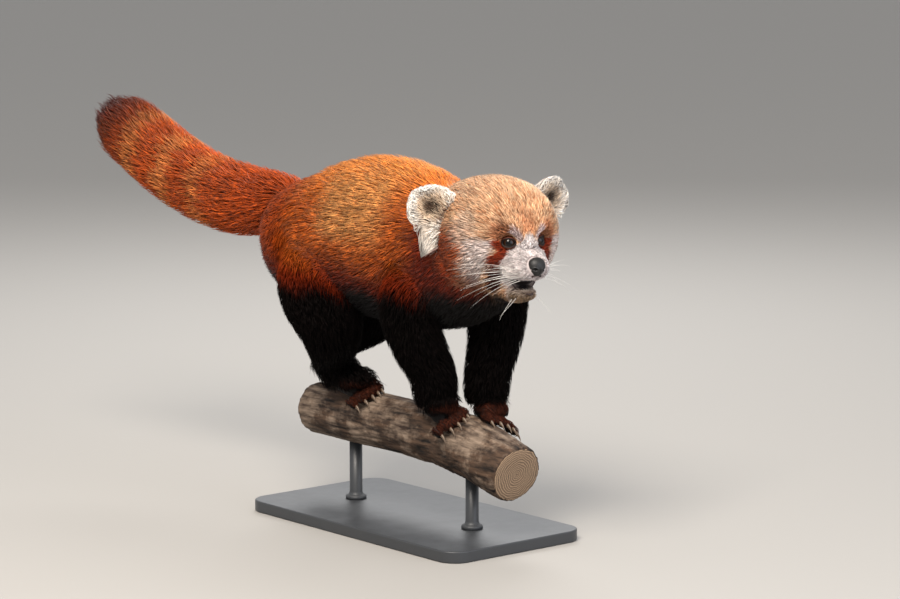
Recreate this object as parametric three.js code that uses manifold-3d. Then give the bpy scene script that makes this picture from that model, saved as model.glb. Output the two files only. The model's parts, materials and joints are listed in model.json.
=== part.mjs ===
// A red panda walking along a branch, life size, on a plain display stand.
// Millimetres, +X the way the animal walks, +Y its left, +Z up.
// The origin is the middle of the stand's underside.
import * as THREE from 'three';
import { mergeVertices } from 'three/addons/utils/BufferGeometryUtils.js';
import Module from 'manifold-3d';

const wasm = await Module();
wasm.setup();

// Driving dimensions, in millimetres and degrees
const GAP = 0.3;
const SEED = 20;
const BRANCH_TOP = 154;
const BRANCH_RADIUS = 35;
const BRANCH_BACK = -190;
const BRANCH_FRONT = 196;
const BASE_LENGTH = 400;
const BASE_WIDTH = 210;
const BASE_THICK = 14;
const BASE_CORNER = 26;
const ROD_RADIUS = 8;
const ROD_REACH = 112;
const WITHERS = 442;
const BELLY = 251;
const HEAD_AT = [168, -5, 375.5];
const HEAD_TURN = -12;
const HEAD_NOD = 2;
const EYE_RADIUS = 8.4;
const EYE_AT = [55, 18.6, 2];
const EYE_FACE = 30;
const EYE_LIFT = 8;
const LID_THICK = 2.2;
const EYE_OPENING = [20, 7.4, 6.5];
const EYE_HOLLOW = [14, 12];
const NOSE_AT = [88, 0, -22];
const NOSE_SIZE = [9.5, 10.8, 10.2];
const NOSTRIL_RADIUS = 2.4;
const MOUTH_CORNER = [60, -46.5];
const MOUTH_FRONT = [98, -44];
const MOUTH_OPEN = 10;
const MOUTH_SLIT = 1.2;
const LIP_SAG = 3.5;
const MOUTH_WIDE = 60;
const EAR_AT = [-24, 75, 31];
const EAR_WIDE = 32;
const EAR_TALL = 35;
const EAR_THICK = 11;
const ANKLE = 181;
const TOES = 5;
const TOE_RADIUS = 6.6;
const TOE_PITCH = 8.8;
const CLAW_REACH = 11;
const TORSO_FRONT = 84;
const TORSO_BACK = -246;
const TAIL_SPLIT = -400;
const LEG_CLEAR = 4;
const EAR_CLEAR = 4;
const SPACE = 400;

// Rings of a lock from its root: shares of its length and width, of the coat's depth, of its thickness
const LONG_LOCK = [[0, 0.6, -0.4, 1], [0.42, 1, 0.35, 1], [0.76, 0.66, 0.7, 0.5]];
const SHORT_LOCK = [[0, 0.6, -0.4, 1], [0.5, 1, 0.4, 1]];
// The coat's depth over its core, and the length, width and thickness of its locks
const BODY_COAT = { depth: 13, length: 88, wide: 36, thick: 8, rings: LONG_LOCK };
const TAIL_COAT = { depth: 18, length: 82, wide: 31, thick: 8, rings: LONG_LOCK };
const LEG_COAT = { depth: 9, length: 50, wide: 25, thick: 6, rings: SHORT_LOCK };
const CHEEK_COAT = { depth: 6, length: 46, wide: 25, thick: 4, rings: SHORT_LOCK };

const vec = (...p) => new THREE.Vector3(...p);
const mix = THREE.MathUtils.lerp;
const rad = THREE.MathUtils.degToRad;

// A repeatable draw between -1 and 1
let draw = SEED;
function vary() {
  draw = (draw * 16807) % 2147483647;
  return (draw / 2147483647) * 2 - 1;
}

// Solids from closed geometries, and back
function solid(geometry) {
  const bare = geometry.index ? geometry.toNonIndexed() : geometry.clone();
  for (const name of Object.keys(bare.attributes)) {
    if (name !== 'position') bare.deleteAttribute(name);
  }
  const merged = mergeVertices(bare, 1e-4);
  return new wasm.Manifold(new wasm.Mesh({
    numProp: 3,
    vertProperties: merged.attributes.position.array,
    triVerts: new Uint32Array(merged.index.array),
  }));
}

function geometryOf(body) {
  const mesh = body.getMesh();
  const places = new Float32Array(mesh.numVert * 3);
  for (let i = 0; i < mesh.numVert; i++) {
    places.set(mesh.vertProperties.subarray(i * mesh.numProp, i * mesh.numProp + 3), i * 3);
  }
  const geometry = new THREE.BufferGeometry();
  geometry.setAttribute('position', new THREE.BufferAttribute(places, 3));
  geometry.setIndex(new THREE.BufferAttribute(mesh.triVerts, 1));
  geometry.computeVertexNormals();
  return geometry;
}

// A solid from points and faces, turned so that its faces point out
function outward(places, faces) {
  const geometry = new THREE.BufferGeometry();
  geometry.setAttribute('position', new THREE.Float32BufferAttribute(places, 3));
  geometry.setIndex(faces);
  const made = solid(geometry);
  if (made.volume() > 0) return made;
  geometry.setIndex(faces.reverse());
  return solid(geometry);
}

const union = (pieces) => wasm.Manifold.union(pieces);

function largest(body) {
  return body.decompose().reduce((a, b) => (b.volume() > a.volume() ? b : a));
}

// A closed form of flesh: oval rings along a smooth line through a few stations.
// A station is [x, y, z, half width, reach up, reach down].
class Form {
  constructor(stations, { side = [0, 1, 0], round = [0.12, 0.12], full = 2 } = {}) {
    this.line = new THREE.CatmullRomCurve3(stations.map((s) => vec(s[0], s[1], s[2])));
    this.size = new THREE.CatmullRomCurve3(stations.map((s) => vec(s[3], s[4], s[5])));
    this.line.curveType = this.size.curveType = 'catmullrom';
    this.side = vec(...side);
    this.round = round;
    this.full = full;
    this.length = this.line.getLength();
  }

  // The share of the full section left at t, where the ends are rounded
  swell(t) {
    const [start, end] = this.round;
    const short = Math.max(0, 1 - t / start, 1 - (1 - t) / end);
    return Math.sqrt(Math.max(0, 1 - short * short));
  }

  // A point of the surface, off it by grow, at t along the line and angle round it
  at(t, angle, grow = 0) {
    const along = this.line.getTangent(t);
    const up = along.clone().cross(this.side).normalize();
    const out = up.clone().cross(along).normalize();
    const size = this.size.getPoint(t);
    const swell = this.swell(t);
    const bow = (v) => Math.sign(v) * Math.abs(v) ** (2 / this.full);
    const [c, s] = [bow(Math.cos(angle)), bow(Math.sin(angle))];
    const tall = s > 0 ? size.y : size.z;
    return this.line.getPoint(t)
      .addScaledVector(out, (size.x + grow) * swell * c)
      .addScaledVector(up, (tall + grow) * swell * s);
  }

  // Whether a point lies inside the form
  holds(point) {
    const near = this.line.getSpacedPoints(24).map((p, i) => [p.distanceTo(point), i / 24]);
    const t = this.line.getUtoTmapping(near.reduce((a, b) => (b[0] < a[0] ? b : a))[1]);
    const along = this.line.getTangent(t);
    const up = along.clone().cross(this.side).normalize();
    const away = point.clone().sub(this.line.getPoint(t));
    const rise = away.dot(up);
    const beside = away.dot(up.clone().cross(along).normalize());
    const size = this.size.getPoint(t);
    return (beside / size.x) ** 2 + (rise / (rise > 0 ? size.y : size.z)) ** 2 < 1;
  }

  // The steps along the line, closer together in the rounded ends
  steps(rings) {
    const [start, end] = this.round;
    const ends = rings > 8 ? 3 : 2;
    const list = [];
    for (let i = 1; i <= ends; i++) list.push(start * (1 - Math.cos((i * Math.PI) / (2 * ends))));
    const middle = rings - 2 * ends;
    for (let i = 1; i < middle; i++) list.push(mix(start, 1 - end, i / middle));
    for (let i = ends; i >= 1; i--) list.push(1 - end * (1 - Math.cos((i * Math.PI) / (2 * ends))));
    return list.filter((t, i) => i === 0 || t > list[i - 1] + 1e-6);
  }

  solid(rings, sides, grow = 0) {
    const steps = this.steps(rings);
    const places = [];
    const faces = [];
    for (const t of steps) {
      for (let j = 0; j < sides; j++) {
        places.push(...this.at(t, (j * 2 * Math.PI) / sides, grow).toArray());
      }
    }
    for (let i = 0; i + 1 < steps.length; i++) {
      for (let j = 0; j < sides; j++) {
        const [a, b] = [i * sides + j, i * sides + ((j + 1) % sides)];
        faces.push(a, b, a + sides, b, b + sides, a + sides);
      }
    }
    const first = places.length / 3;
    const lift = (t, way) => this.line.getPoint(t).addScaledVector(this.line.getTangent(t), way * grow);
    places.push(...lift(0, -1).toArray(), ...lift(1, 1).toArray());
    const last = (steps.length - 1) * sides;
    for (let j = 0; j < sides; j++) {
      const next = (j + 1) % sides;
      faces.push(first, next, j, first + 1, last + j, last + next);
    }
    return outward(places, faces);
  }
}

// A tapered, pointed piece through a few rings of points, from its root to its tip
function spike(rings, tip) {
  const sides = rings[0].length;
  const places = rings.flat().concat(tip).flatMap((p) => p.toArray());
  const faces = [];
  for (let j = 1; j + 1 < sides; j++) faces.push(0, j + 1, j);
  for (let i = 0; i + 1 < rings.length; i++) {
    for (let j = 0; j < sides; j++) {
      const [a, b] = [i * sides + j, i * sides + ((j + 1) % sides)];
      faces.push(a, b, a + sides, b, b + sides, a + sides);
    }
  }
  const last = (rings.length - 1) * sides;
  for (let j = 0; j < sides; j++) faces.push(last + j, last + ((j + 1) % sides), last + sides);
  return outward(places, faces);
}

// An ellipsoid of three half sizes, turned by a matrix and set at a point
function egg([x, y, z], place, wide = 20, tall = 14) {
  const geometry = new THREE.SphereGeometry(1, wide, tall).rotateX(Math.PI / 2);
  return solid(geometry.scale(x, y, z).applyMatrix4(place));
}

const move = (x, y, z) => new THREE.Matrix4().makeTranslation(x, y, z);

// A flat, tapered lock that leaves the core, follows the form and ends on the coat's outline.
// It runs towards the form's start or end, and turns round it by an angle on its way.
function lock(form, root, angle, way, turn, { depth, length, wide, thick, rings, lift = 0 }) {
  const reach = (length * way) / form.length;
  const at = (share, beside, height) => {
    const t = form.line.getUtoTmapping(THREE.MathUtils.clamp(root + reach * share, 0.004, 0.996));
    return form.at(t, angle + turn * share + beside, height - depth + lift);
  };
  const sections = rings.map(([share, broad, high, fat]) => {
    const round = at(share, 0.05, 0).distanceTo(at(share, -0.05, 0)) / 0.1;
    const half = Math.min(0.6, (wide * broad) / 2 / round);
    const height = high * depth;
    return [at(share, -half, height), at(share, half, height), at(share, 0, height + thick * fat)];
  });
  return spike(sections, at(1, 0, depth));
}

// Staggered rows of locks over a form, all round it or only where keep says so
function coat(form, way, sizes, { from, to, rows, around, drop = 0, keep = () => true }) {
  const locks = [];
  for (let row = 0; row < rows; row++) {
    for (let i = 0; i < around; i++) {
      const root = mix(from, to, (row + 0.5 + 0.22 * vary()) / rows);
      const angle = ((i + (row % 2) / 2 + 0.16 * vary()) * 2 * Math.PI) / around;
      const turn = -drop * Math.cos(angle) + 0.07 * vary();
      const length = sizes.length * (1 + 0.14 * vary());
      const wide = sizes.wide * (1 + 0.1 * vary());
      const point = form.at(form.line.getUtoTmapping(root), angle);
      if (keep({ angle, point })) locks.push(lock(form, root, angle, way, turn, { ...sizes, length, wide }));
    }
  }
  return locks;
}

// The trunk from rump to nape, the tail, and the four legs
const trunk = new Form([
  [-252, 0, 352, 42, 34, 56],
  [-205, 0, 345, 70, 62, 85],
  [-145, 0, 345, 84, WITHERS - 18 - 345, 345 - BELLY - 4],
  [-60, 0, 350, 85, WITHERS + 4 - 350, 350 - BELLY],
  [10, 0, 345, 81, WITHERS - 345, 345 - BELLY + 2],
  [72, 0, 340, 77, 89, 340 - BELLY - 2],
  [122, -3, 350, 68, 79, 76],
  [168, -11, 363, 60, 64, 58],
], { round: [0.1, 0.1] });

const tail = new Form([
  [-205, 0, 364, 34, 30, 36],
  [-250, 0, 364, 42, 40, 46],
  [-310, -6, 367, 44, 43, 46],
  [-380, -15, 376, 45, 45, 45],
  [-450, -27, 400, 45, 45, 45],
  [-520, -37, 436, 43, 43, 43],
  [-560, -43, 457, 38, 38, 38],
  [-588, -46, 470, 31, 31, 31],
], { round: [0.08, 0.12] });

// A leg is a line from its paw up into the body
const LEG_RINGS = 8;
const LEG_SIDES = 8;
const legs = {
  foreleg_right: [
    [76, -26, 160, 29], [75, -31, 200, 31], [66, -47, 240, 35], [60, -56, 285, 38], [66, -50, 335, 34],
  ],
  foreleg_left: [
    [108, 24, 160, 29], [107, 29, 200, 31], [103, 43, 240, 35], [97, 54, 285, 38], [88, 50, 335, 34],
  ],
  hindleg_right: [
    [-104, -26, 162, 27], [-112, -36, 200, 30], [-92, -56, 240, 43], [-112, -57, 285, 53],
    [-150, -48, 345, 42],
  ],
  hindleg_left: [
    [-190, 26, 162, 27], [-198, 36, 200, 30], [-155, 56, 240, 43], [-155, 57, 285, 53],
    [-165, 48, 345, 42],
  ],
};
const legForms = Object.fromEntries(Object.entries(legs).map(([name, line]) => [
  name,
  new Form(line.map(([x, y, z, r]) => [x, y, z, r * 0.92, r, r]), { round: [0.1, 0.2] }),
]));

// The head lies along its own +X, and is turned towards the animal's right
const headPlace = move(...HEAD_AT)
  .multiply(new THREE.Matrix4().makeRotationZ(rad(HEAD_TURN)))
  .multiply(new THREE.Matrix4().makeRotationY(rad(HEAD_NOD)));
// Outlines of the skull with its cheeks, the muzzle and the lower jaw: x, top, bottom, half width
const skull = [
  [-78, 42, -48, 46],
  [-50, 59, -60, 60],
  [-18, 66, -66, 68],
  [10, 62, -70, 68],
  [30, 48, -72, 59],
  [43, 30, -71, 44],
  [55, 11, -67, 30.5],
  [66, -4, -60, 23],
];
const muzzle = [
  [36, 6, -50, 28],
  [58, 1, -49, 27],
  [72, -6, -47, 24],
  [84, -11, -44, 20],
  [94, -15, -41, 14],
];
const jaw = [
  [0, -38, -70, 16],
  [40, -41, -70, 19],
  [62, -43, -67, 17.5],
  [76, -45, -64, 15],
  [87, -45, -60, 11],
];
const outlined = (profile, options) => new Form(profile.map(([x, top, bottom, wide]) => {
  const tall = (top - bottom) / 2;
  return [x, 0, bottom + tall, wide, tall, tall];
}), options);
const skullForm = outlined(skull, { round: [0.12, 0.1], full: 2.2 });
const muzzleForm = outlined(muzzle, { round: [0.1, 0.3], full: 2.2 });
const jawForm = outlined(jaw, { round: [0.1, 0.35], full: 2.2 });

// The branch, cut square at both ends
const branchLine = [
  [BRANCH_BACK, 0, 0], [-90, 1, 1], [20, 0, 1], [80, 0, -2], [130, -1, -9], [BRANCH_FRONT, -3, -25],
];
const branch = new Form(
  branchLine.map(([x, y, z], i) => {
    const r = BRANCH_RADIUS + [-2, 0, 1, 2, 3, 1][i];
    return [x, y, BRANCH_TOP - BRANCH_RADIUS + z, r, r, r];
  }),
  { round: [0.006, 0.006] },
);
const perch = branch.solid(10, 12);
const perchClear = branch.solid(10, 12, GAP);

// A paw: its ankle, sole, five toes that bend over the branch, and their claws
function claw(x, y, z) {
  const ring = (across, drop, r) => [[0, r], [-0.7 * r, -0.2 * r], [0, -r], [0.7 * r, -0.2 * r]]
    .map(([side, up]) => vec(x + across, y + side, z + up - drop));
  return spike([ring(-3, 0, 2.8), ring(CLAW_REACH * 0.5, 1, 2.4)], vec(x + CLAW_REACH, y, z - 7));
}

function paw(name, x, y, heel, toesOut) {
  const share = THREE.MathUtils.clamp((x - BRANCH_BACK) / (BRANCH_FRONT - BRANCH_BACK), 0, 1);
  const top = branch.line.getPoint(share).z + BRANCH_RADIUS;
  const pieces = [
    legForms[name].solid(LEG_RINGS, LEG_SIDES),
    new Form([
      [x - heel, y, top + 10, 15, 13, 14], [x - 4, y, top + 13, 20, 15, 22], [x + 14, y, top + 7, 21, 12, 20],
    ], { round: [0.3, 0.35] }).solid(5, 8),
  ];
  for (let i = 0; i < TOES; i++) {
    const spread = i - (TOES - 1) / 2;
    const outer = y + spread * TOE_PITCH;
    const fall = (outer * outer) / (2.6 * BRANCH_RADIUS);
    const reach = toesOut - spread * spread * 1.7;
    const out = outer + spread * 1.2;
    const r = TOE_RADIUS;
    pieces.push(new Form([
      [x + 4, outer, top + 6 - fall, r, r, r],
      [x + reach * 0.62, out, top + 7.5 - fall, r, r + 0.6, r],
      [x + reach, out, top + 1.5 - fall, r * 0.92, r, r],
    ], { round: [0.2, 0.28] }).solid(5, 5));
    pieces.push(claw(x + reach, out, top + 3 - fall));
  }
  return union(pieces).intersect(below).subtract(perchClear);
}

const slab = (low, high) => solid(new THREE.BoxGeometry(4 * SPACE, 4 * SPACE, high - low)
  .translate(0, 0, (low + high) / 2));
const below = slab(-SPACE, ANKLE - GAP / 2);
const above = slab(ANKLE + GAP / 2, 3 * SPACE);
const paws = {
  forepaw_right: paw('foreleg_right', 88, -25, 24, 26),
  forepaw_left: paw('foreleg_left', 121, 24.5, 24, 26),
  hindpaw_right: paw('hindleg_right', -82, -21, 44, 28),
  hindpaw_left: paw('hindleg_left', -168, 21, 44, 28),
};

// Head details, all in the head's own frame
const inHead = (place) => headPlace.clone().multiply(place);
const eyeFace = (way) => new THREE.Matrix4().makeRotationZ(way * rad(EYE_FACE))
  .multiply(new THREE.Matrix4().makeRotationY(rad(-EYE_LIFT)));
const eyeAt = (way) => inHead(move(EYE_AT[0], way * EYE_AT[1], EYE_AT[2]).multiply(eyeFace(way)));
const ball = (radius, place) => egg([radius, radius, radius], place, 10, 7);
const eye = (way, grow) => ball(EYE_RADIUS + grow, eyeAt(way));
const lids = (way) => ball(EYE_RADIUS + GAP + LID_THICK, eyeAt(way));
const lidOpening = (way) => egg(EYE_OPENING, eyeAt(way).multiply(move(EYE_OPENING[0] * 0.75, 0, 0)), 12, 8);
const eyeHollow = (way) => ball(EYE_HOLLOW[0], eyeAt(way).multiply(move(EYE_HOLLOW[1], 0, 0)));
const noseAt = inHead(move(...NOSE_AT));
const nose = (grow) => egg(NOSE_SIZE.map((s) => s + grow), noseAt, 10, 7);
const nostril = (way) => egg(
  [NOSTRIL_RADIUS * 1.6, NOSTRIL_RADIUS, NOSTRIL_RADIUS * 1.2],
  inHead(move(NOSE_AT[0] + NOSE_SIZE[0] * 0.72, way * NOSE_SIZE[1] * 0.5, NOSE_AT[2] - 1.5)), 6, 5,
);

// The mouth: a wedge that opens from both corners to the lips
function mouth() {
  const [back, corner] = MOUTH_CORNER;
  const [front, middle] = MOUTH_FRONT;
  const [slit, open] = [MOUTH_SLIT / 2, MOUTH_OPEN / 2];
  const lips = new THREE.Shape();
  lips.moveTo(back, corner - slit);
  lips.quadraticCurveTo(mix(back, front, 0.4), corner - LIP_SAG, front, middle - open);
  lips.lineTo(front, middle + open);
  lips.quadraticCurveTo(mix(back, front, 0.5), corner + slit, back, corner + slit);
  const across = new THREE.ExtrudeGeometry(lips, {
    depth: 2 * MOUTH_WIDE, bevelEnabled: false, curveSegments: 3,
  });
  return solid(across.rotateX(Math.PI / 2).translate(0, MOUTH_WIDE, 0).applyMatrix4(headPlace));
}

// An ear: a rounded leaf, thickest at its root, with its cup scooped out of the front
function earPlace(way) {
  const tip = vec(-0.14, 0.78 * way, 0.6).normalize();
  const face = vec(0.88, 0.47 * way, 0.1);
  face.addScaledVector(tip, -face.dot(tip)).normalize();
  const across = tip.clone().cross(face);
  return inHead(move(EAR_AT[0], way * EAR_AT[1], EAR_AT[2])
    .multiply(new THREE.Matrix4().makeBasis(across, tip, face)));
}

function leaf(size, front) {
  const [w, h, k] = [EAR_WIDE * size, EAR_TALL * size, EAR_THICK];
  return new Form([
    [0, -h, front, w * 0.86, k, k], [0, -h * 0.3, front, w, k, k],
    [0, h * 0.35, front, w * 0.86, k * 0.85, k * 0.85], [0, h, front, w * 0.5, k * 0.6, k * 0.6],
  ], { side: [1, 0, 0], round: [0.16, 0.3] });
}

function ear(way) {
  const place = earPlace(way).toArray();
  const cup = leaf(0.72, EAR_THICK * 0.95).solid(6, 9);
  return leaf(1, 0).solid(8, 11).subtract(cup).transform(place);
}

const headSolid = union([skullForm.solid(12, 18), muzzleForm.solid(8, 12), jawForm.solid(7, 10)])
  .transform(headPlace.toArray())
  .subtract(eyeHollow(1)).subtract(eyeHollow(-1)).add(lids(1)).add(lids(-1));

// The cores, and the locks over them
const core = (form, rings, sides, sizes) => form.solid(rings, sides, -sizes.depth);
const trunkSolid = core(trunk, 8, 12, BODY_COAT);
const tailSolid = core(tail, 8, 7, TAIL_COAT);
const inLeg = (point) => Object.values(legForms).some((form) => form.holds(point));
const cheek = ({ angle }) => Math.abs(Math.cos(angle)) > 0.45 && Math.sin(angle) < 0.35;
const locks = [
  ...coat(trunk, -1, BODY_COAT, {
    from: 0.98, to: 0.1, rows: 6, around: 12, drop: 0.12, keep: ({ point }) => !inLeg(point),
  }),
  ...coat(tail, 1, TAIL_COAT, { from: 0.04, to: 0.88, rows: 6, around: 7 }),
  ...coat(skullForm, -1, { ...CHEEK_COAT, lift: CHEEK_COAT.depth }, {
    from: 0.7, to: 0.34, rows: 2, around: 14, drop: 0.1, keep: cheek,
  }).map((piece) => piece.transform(headPlace.toArray())),
];

// Partings between the nodes of flesh
const headRegion = (grow) => new Form([
  [-60, 0, 0, 58, 58, 58], [-20, 0, -3, 90, 82, 80], [25, 0, -6, 90, 82, 80],
  [65, 0, -20, 70, 62, 66], [112, 0, -24, 56, 54, 54],
], { round: [0.12, 0.12] }).solid(8, 12, grow).transform(headPlace.toArray());
const boxRegion = (x0, x1) => solid(new THREE.BoxGeometry(x1 - x0, 2 * SPACE, 2 * SPACE)
  .translate((x0 + x1) / 2, 0, SPACE));
const earRegion = (way, grow) => leaf(1, 0).solid(7, 12, EAR_CLEAR + grow).transform(earPlace(way).toArray());
const legRegion = (form, grow) => form.solid(7, 9, LEG_CLEAR + grow);

const nodes = {};
let whole = union([headSolid, trunkSolid, tailSolid, ear(1), ear(-1), ...locks]);
for (const [name, way] of [['ear_left', 1], ['ear_right', -1]]) {
  nodes[name] = whole.intersect(earRegion(way, 0));
  whole = whole.subtract(earRegion(way, GAP));
}
for (const [name, form] of Object.entries(legForms)) {
  const legLocks = coat(form, -1, LEG_COAT, {
    from: 0.86, to: 0.28, rows: 3, around: 6, keep: ({ point }) => !trunk.holds(point),
  });
  const leg = union([whole, core(form, 7, 7, LEG_COAT), ...legLocks]);
  nodes[name] = leg.intersect(legRegion(form, 0)).intersect(above);
  whole = whole.subtract(legRegion(form, GAP));
}
nodes.head = whole.intersect(headRegion(0));
whole = whole.subtract(headRegion(GAP));
nodes.neck = whole.intersect(boxRegion(TORSO_FRONT + GAP, 2 * SPACE));
nodes.torso = whole.intersect(boxRegion(TORSO_BACK, TORSO_FRONT));
nodes.tail_root = whole.intersect(boxRegion(TAIL_SPLIT, TORSO_BACK - GAP));
nodes.tail_end = whole.intersect(boxRegion(-4 * SPACE, TAIL_SPLIT - GAP));
for (const [name, body] of Object.entries(paws)) nodes[name] = body;

const hollows = [eye(1, GAP), eye(-1, GAP), lidOpening(1), lidOpening(-1), nose(GAP), mouth()];
nodes.head = nodes.head.subtract(union(hollows));
nodes.eye_left = eye(1, 0);
nodes.eye_right = eye(-1, 0);
nodes.nose = nose(0).subtract(union([nostril(1), nostril(-1)]));
nodes.perch = perch;

// The stand: a flat base with round corners and two rods up to the branch
const outline = new THREE.Shape();
const [halfX, halfY] = [BASE_LENGTH / 2, BASE_WIDTH / 2];
outline.absarc(halfX - BASE_CORNER, halfY - BASE_CORNER, BASE_CORNER, 0, Math.PI / 2);
outline.absarc(BASE_CORNER - halfX, halfY - BASE_CORNER, BASE_CORNER, Math.PI / 2, Math.PI);
outline.absarc(BASE_CORNER - halfX, BASE_CORNER - halfY, BASE_CORNER, Math.PI, 1.5 * Math.PI);
outline.absarc(halfX - BASE_CORNER, BASE_CORNER - halfY, BASE_CORNER, 1.5 * Math.PI, 2 * Math.PI);
nodes.stand_base = solid(new THREE.ExtrudeGeometry(outline, {
  depth: BASE_THICK, bevelEnabled: false, curveSegments: 4,
}));
for (const [name, x] of [['stand_rod_back', -ROD_REACH], ['stand_rod_front', ROD_REACH]]) {
  const tall = BRANCH_TOP - BRANCH_RADIUS - BASE_THICK - GAP;
  const rod = new THREE.CylinderGeometry(ROD_RADIUS, ROD_RADIUS, tall, 14).rotateX(Math.PI / 2)
    .translate(x, 0, BASE_THICK + GAP + tall / 2);
  nodes[name] = solid(rod).subtract(perchClear);
}

const colours = {
  torso: [0xb4521f, 0.9], neck: [0x9c3d16, 0.9], head: [0xd8b08a, 0.9],
  tail_root: [0xa8481d, 0.9], tail_end: [0x96421e, 0.9],
  ear_left: [0xf0e8dc, 0.9], ear_right: [0xf0e8dc, 0.9],
  eye_left: [0x140c08, 0.1], eye_right: [0x140c08, 0.1],
  nose: [0x17181a, 0.4], perch: [0x54382a, 0.85],
};
const group = new THREE.Group();
for (const [name, body] of Object.entries(nodes)) {
  const plain = name.startsWith('stand') ? [0x3a3b3d, 0.5] : [0x1c1210, 0.9];
  const [colour, roughness] = colours[name] ?? plain;
  const mesh = new THREE.Mesh(
    geometryOf(largest(body)),
    new THREE.MeshStandardMaterial({ color: colour, roughness, metalness: 0 }),
  );
  mesh.name = name;
  group.add(mesh);
}

export default group;
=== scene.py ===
"""A life-size red panda that walks along a cut branch, carried by a plain display stand.

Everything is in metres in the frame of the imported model: +X the way the animal walks, +Y its left, +Z up.
The forms of the animal are written in millimetres, as in the model's own source, and scaled once.
"""

import json
import logging
import math
from dataclasses import dataclass, field
from enum import Enum

import bpy
import numpy as np
from mathutils import Matrix, Vector
from mathutils.bvhtree import BVHTree

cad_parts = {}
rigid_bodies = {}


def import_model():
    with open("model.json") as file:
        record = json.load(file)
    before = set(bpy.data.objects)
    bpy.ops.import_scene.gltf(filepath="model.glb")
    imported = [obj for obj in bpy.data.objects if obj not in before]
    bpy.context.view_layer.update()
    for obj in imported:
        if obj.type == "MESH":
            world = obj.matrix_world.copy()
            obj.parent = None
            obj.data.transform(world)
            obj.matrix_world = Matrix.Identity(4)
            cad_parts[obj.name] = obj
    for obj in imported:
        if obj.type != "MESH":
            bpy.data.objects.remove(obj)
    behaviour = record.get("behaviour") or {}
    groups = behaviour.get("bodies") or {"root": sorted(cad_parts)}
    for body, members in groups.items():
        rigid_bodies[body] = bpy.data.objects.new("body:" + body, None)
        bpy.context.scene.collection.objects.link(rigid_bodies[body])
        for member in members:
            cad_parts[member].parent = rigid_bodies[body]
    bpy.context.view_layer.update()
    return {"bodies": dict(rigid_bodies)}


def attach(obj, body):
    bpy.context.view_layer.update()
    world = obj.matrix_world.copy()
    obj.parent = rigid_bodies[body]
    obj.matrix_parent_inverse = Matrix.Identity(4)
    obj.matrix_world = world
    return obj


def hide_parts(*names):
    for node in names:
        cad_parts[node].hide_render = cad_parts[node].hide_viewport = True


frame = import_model()

log = logging.getLogger("red_panda")

MM = 0.001
SEED = 11
BODY = next(iter(frame["bodies"]))
COLOUR = "coat_colour"
GRAIN = "grain_radius"
BAKE_MAP = "OFBake"
# The size of one tuft's patch on the map for baking, as a share of the map
BAKE_PATCH = 0.003
# Triangles in one piece of the coat
PIECE_LIMIT = 190_000
# The mesh width at which the forms of flesh are joined, in metres
VOXEL = 0.0024
# What tells the cells of the coat's locks apart
CELL_PRIMES = (73_856_093, 19_349_663, 83_492_791)

# Places and sizes in millimetres and degrees, those on the head in its own frame
BRANCH_TOP = 154.0
BRANCH_RADIUS = 35.0
BRANCH_BACK = -190.0
BRANCH_FRONT = 196.0
HEAD_AT = (168.0, -5.0, 375.5)
HEAD_TURN = -12.0
HEAD_NOD = 2.0
EYE_AT = (55.0, 18.6, 2.0)
EYE_RADIUS = 8.4
EYE_FACE = 30.0
EYE_LIFT = 8.0
# The radius of the hollow that the eye sits in, and how far its middle lies ahead of the ball's
SOCKET = (14.0, 12.0)
NOSE_AT = (88.0, 0.0, -22.0)
NOSE_SIZE = (9.5, 10.6, 11.0)
EAR_AT = (-24.0, 75.0, 31.0)
EAR_WIDE = 32.0
EAR_TALL = 35.0
# Where the long hair that hangs from the ear ends
EAR_TUFT = (-34.0, 87.0, -26.0)
# The heights between which the mouth stands open
MUZZLE_FLOOR = -38.0
JAW_ROOF = -54.0


class Part(Enum):
    """The parts of the animal whose coats differ."""

    TRUNK = 0
    TAIL = 1
    FORELEG_RIGHT = 2
    FORELEG_LEFT = 3
    HINDLEG_RIGHT = 4
    HINDLEG_LEFT = 5
    HEAD = 6
    EAR_RIGHT = 7
    EAR_LEFT = 8


LEGS = (Part.FORELEG_RIGHT, Part.FORELEG_LEFT, Part.HINDLEG_RIGHT, Part.HINDLEG_LEFT)


def linear(colour: str) -> np.ndarray:
    """Turns an sRGB hex colour to linear light.

    Args:
        colour: Six hex digits.

    Returns:
        Red, green and blue in linear light.
    """
    value = np.array([int(colour[i:i + 2], 16) for i in (0, 2, 4)]) / 255.0
    return np.where(value <= 0.04045, value / 12.92, ((value + 0.055) / 1.055) ** 2.4)


def rgba(colour: str) -> tuple:
    """An sRGB hex colour as a linear socket value with full alpha."""
    return (*linear(colour), 1.0)


def unit(vectors: np.ndarray) -> np.ndarray:
    """Vectors scaled to length one."""
    return vectors / np.maximum(np.linalg.norm(vectors, axis=-1, keepdims=True), 1e-9)


def soft(value: np.ndarray, low: float, high: float) -> np.ndarray:
    """A smooth step from 0 at low to 1 at high, or the other way where low is above high."""
    share = np.clip((value - low) / (high - low), 0.0, 1.0)
    return share * share * (3.0 - 2.0 * share)


def blend(first: np.ndarray, second: np.ndarray, share: np.ndarray) -> np.ndarray:
    """Rows of first moved towards second by a share each."""
    return first + (second - first) * share[:, None]


def ripple(points: np.ndarray, wave: float, seed: int) -> np.ndarray:
    """Smooth, repeatable variation over space.

    Args:
        points: Places in millimetres.
        wave: Typical wavelength in millimetres.
        seed: Which of the patterns.

    Returns:
        One value between about -1 and 1 for each point.
    """
    draw = np.random.default_rng(seed)
    total = np.zeros(len(points))
    for _ in range(6):
        way = unit(draw.normal(size=3)) * 2 * math.pi / (wave * draw.uniform(0.7, 1.5))
        total += np.sin(points @ way + draw.uniform(0, 2 * math.pi))
    return total / 3.2


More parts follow.
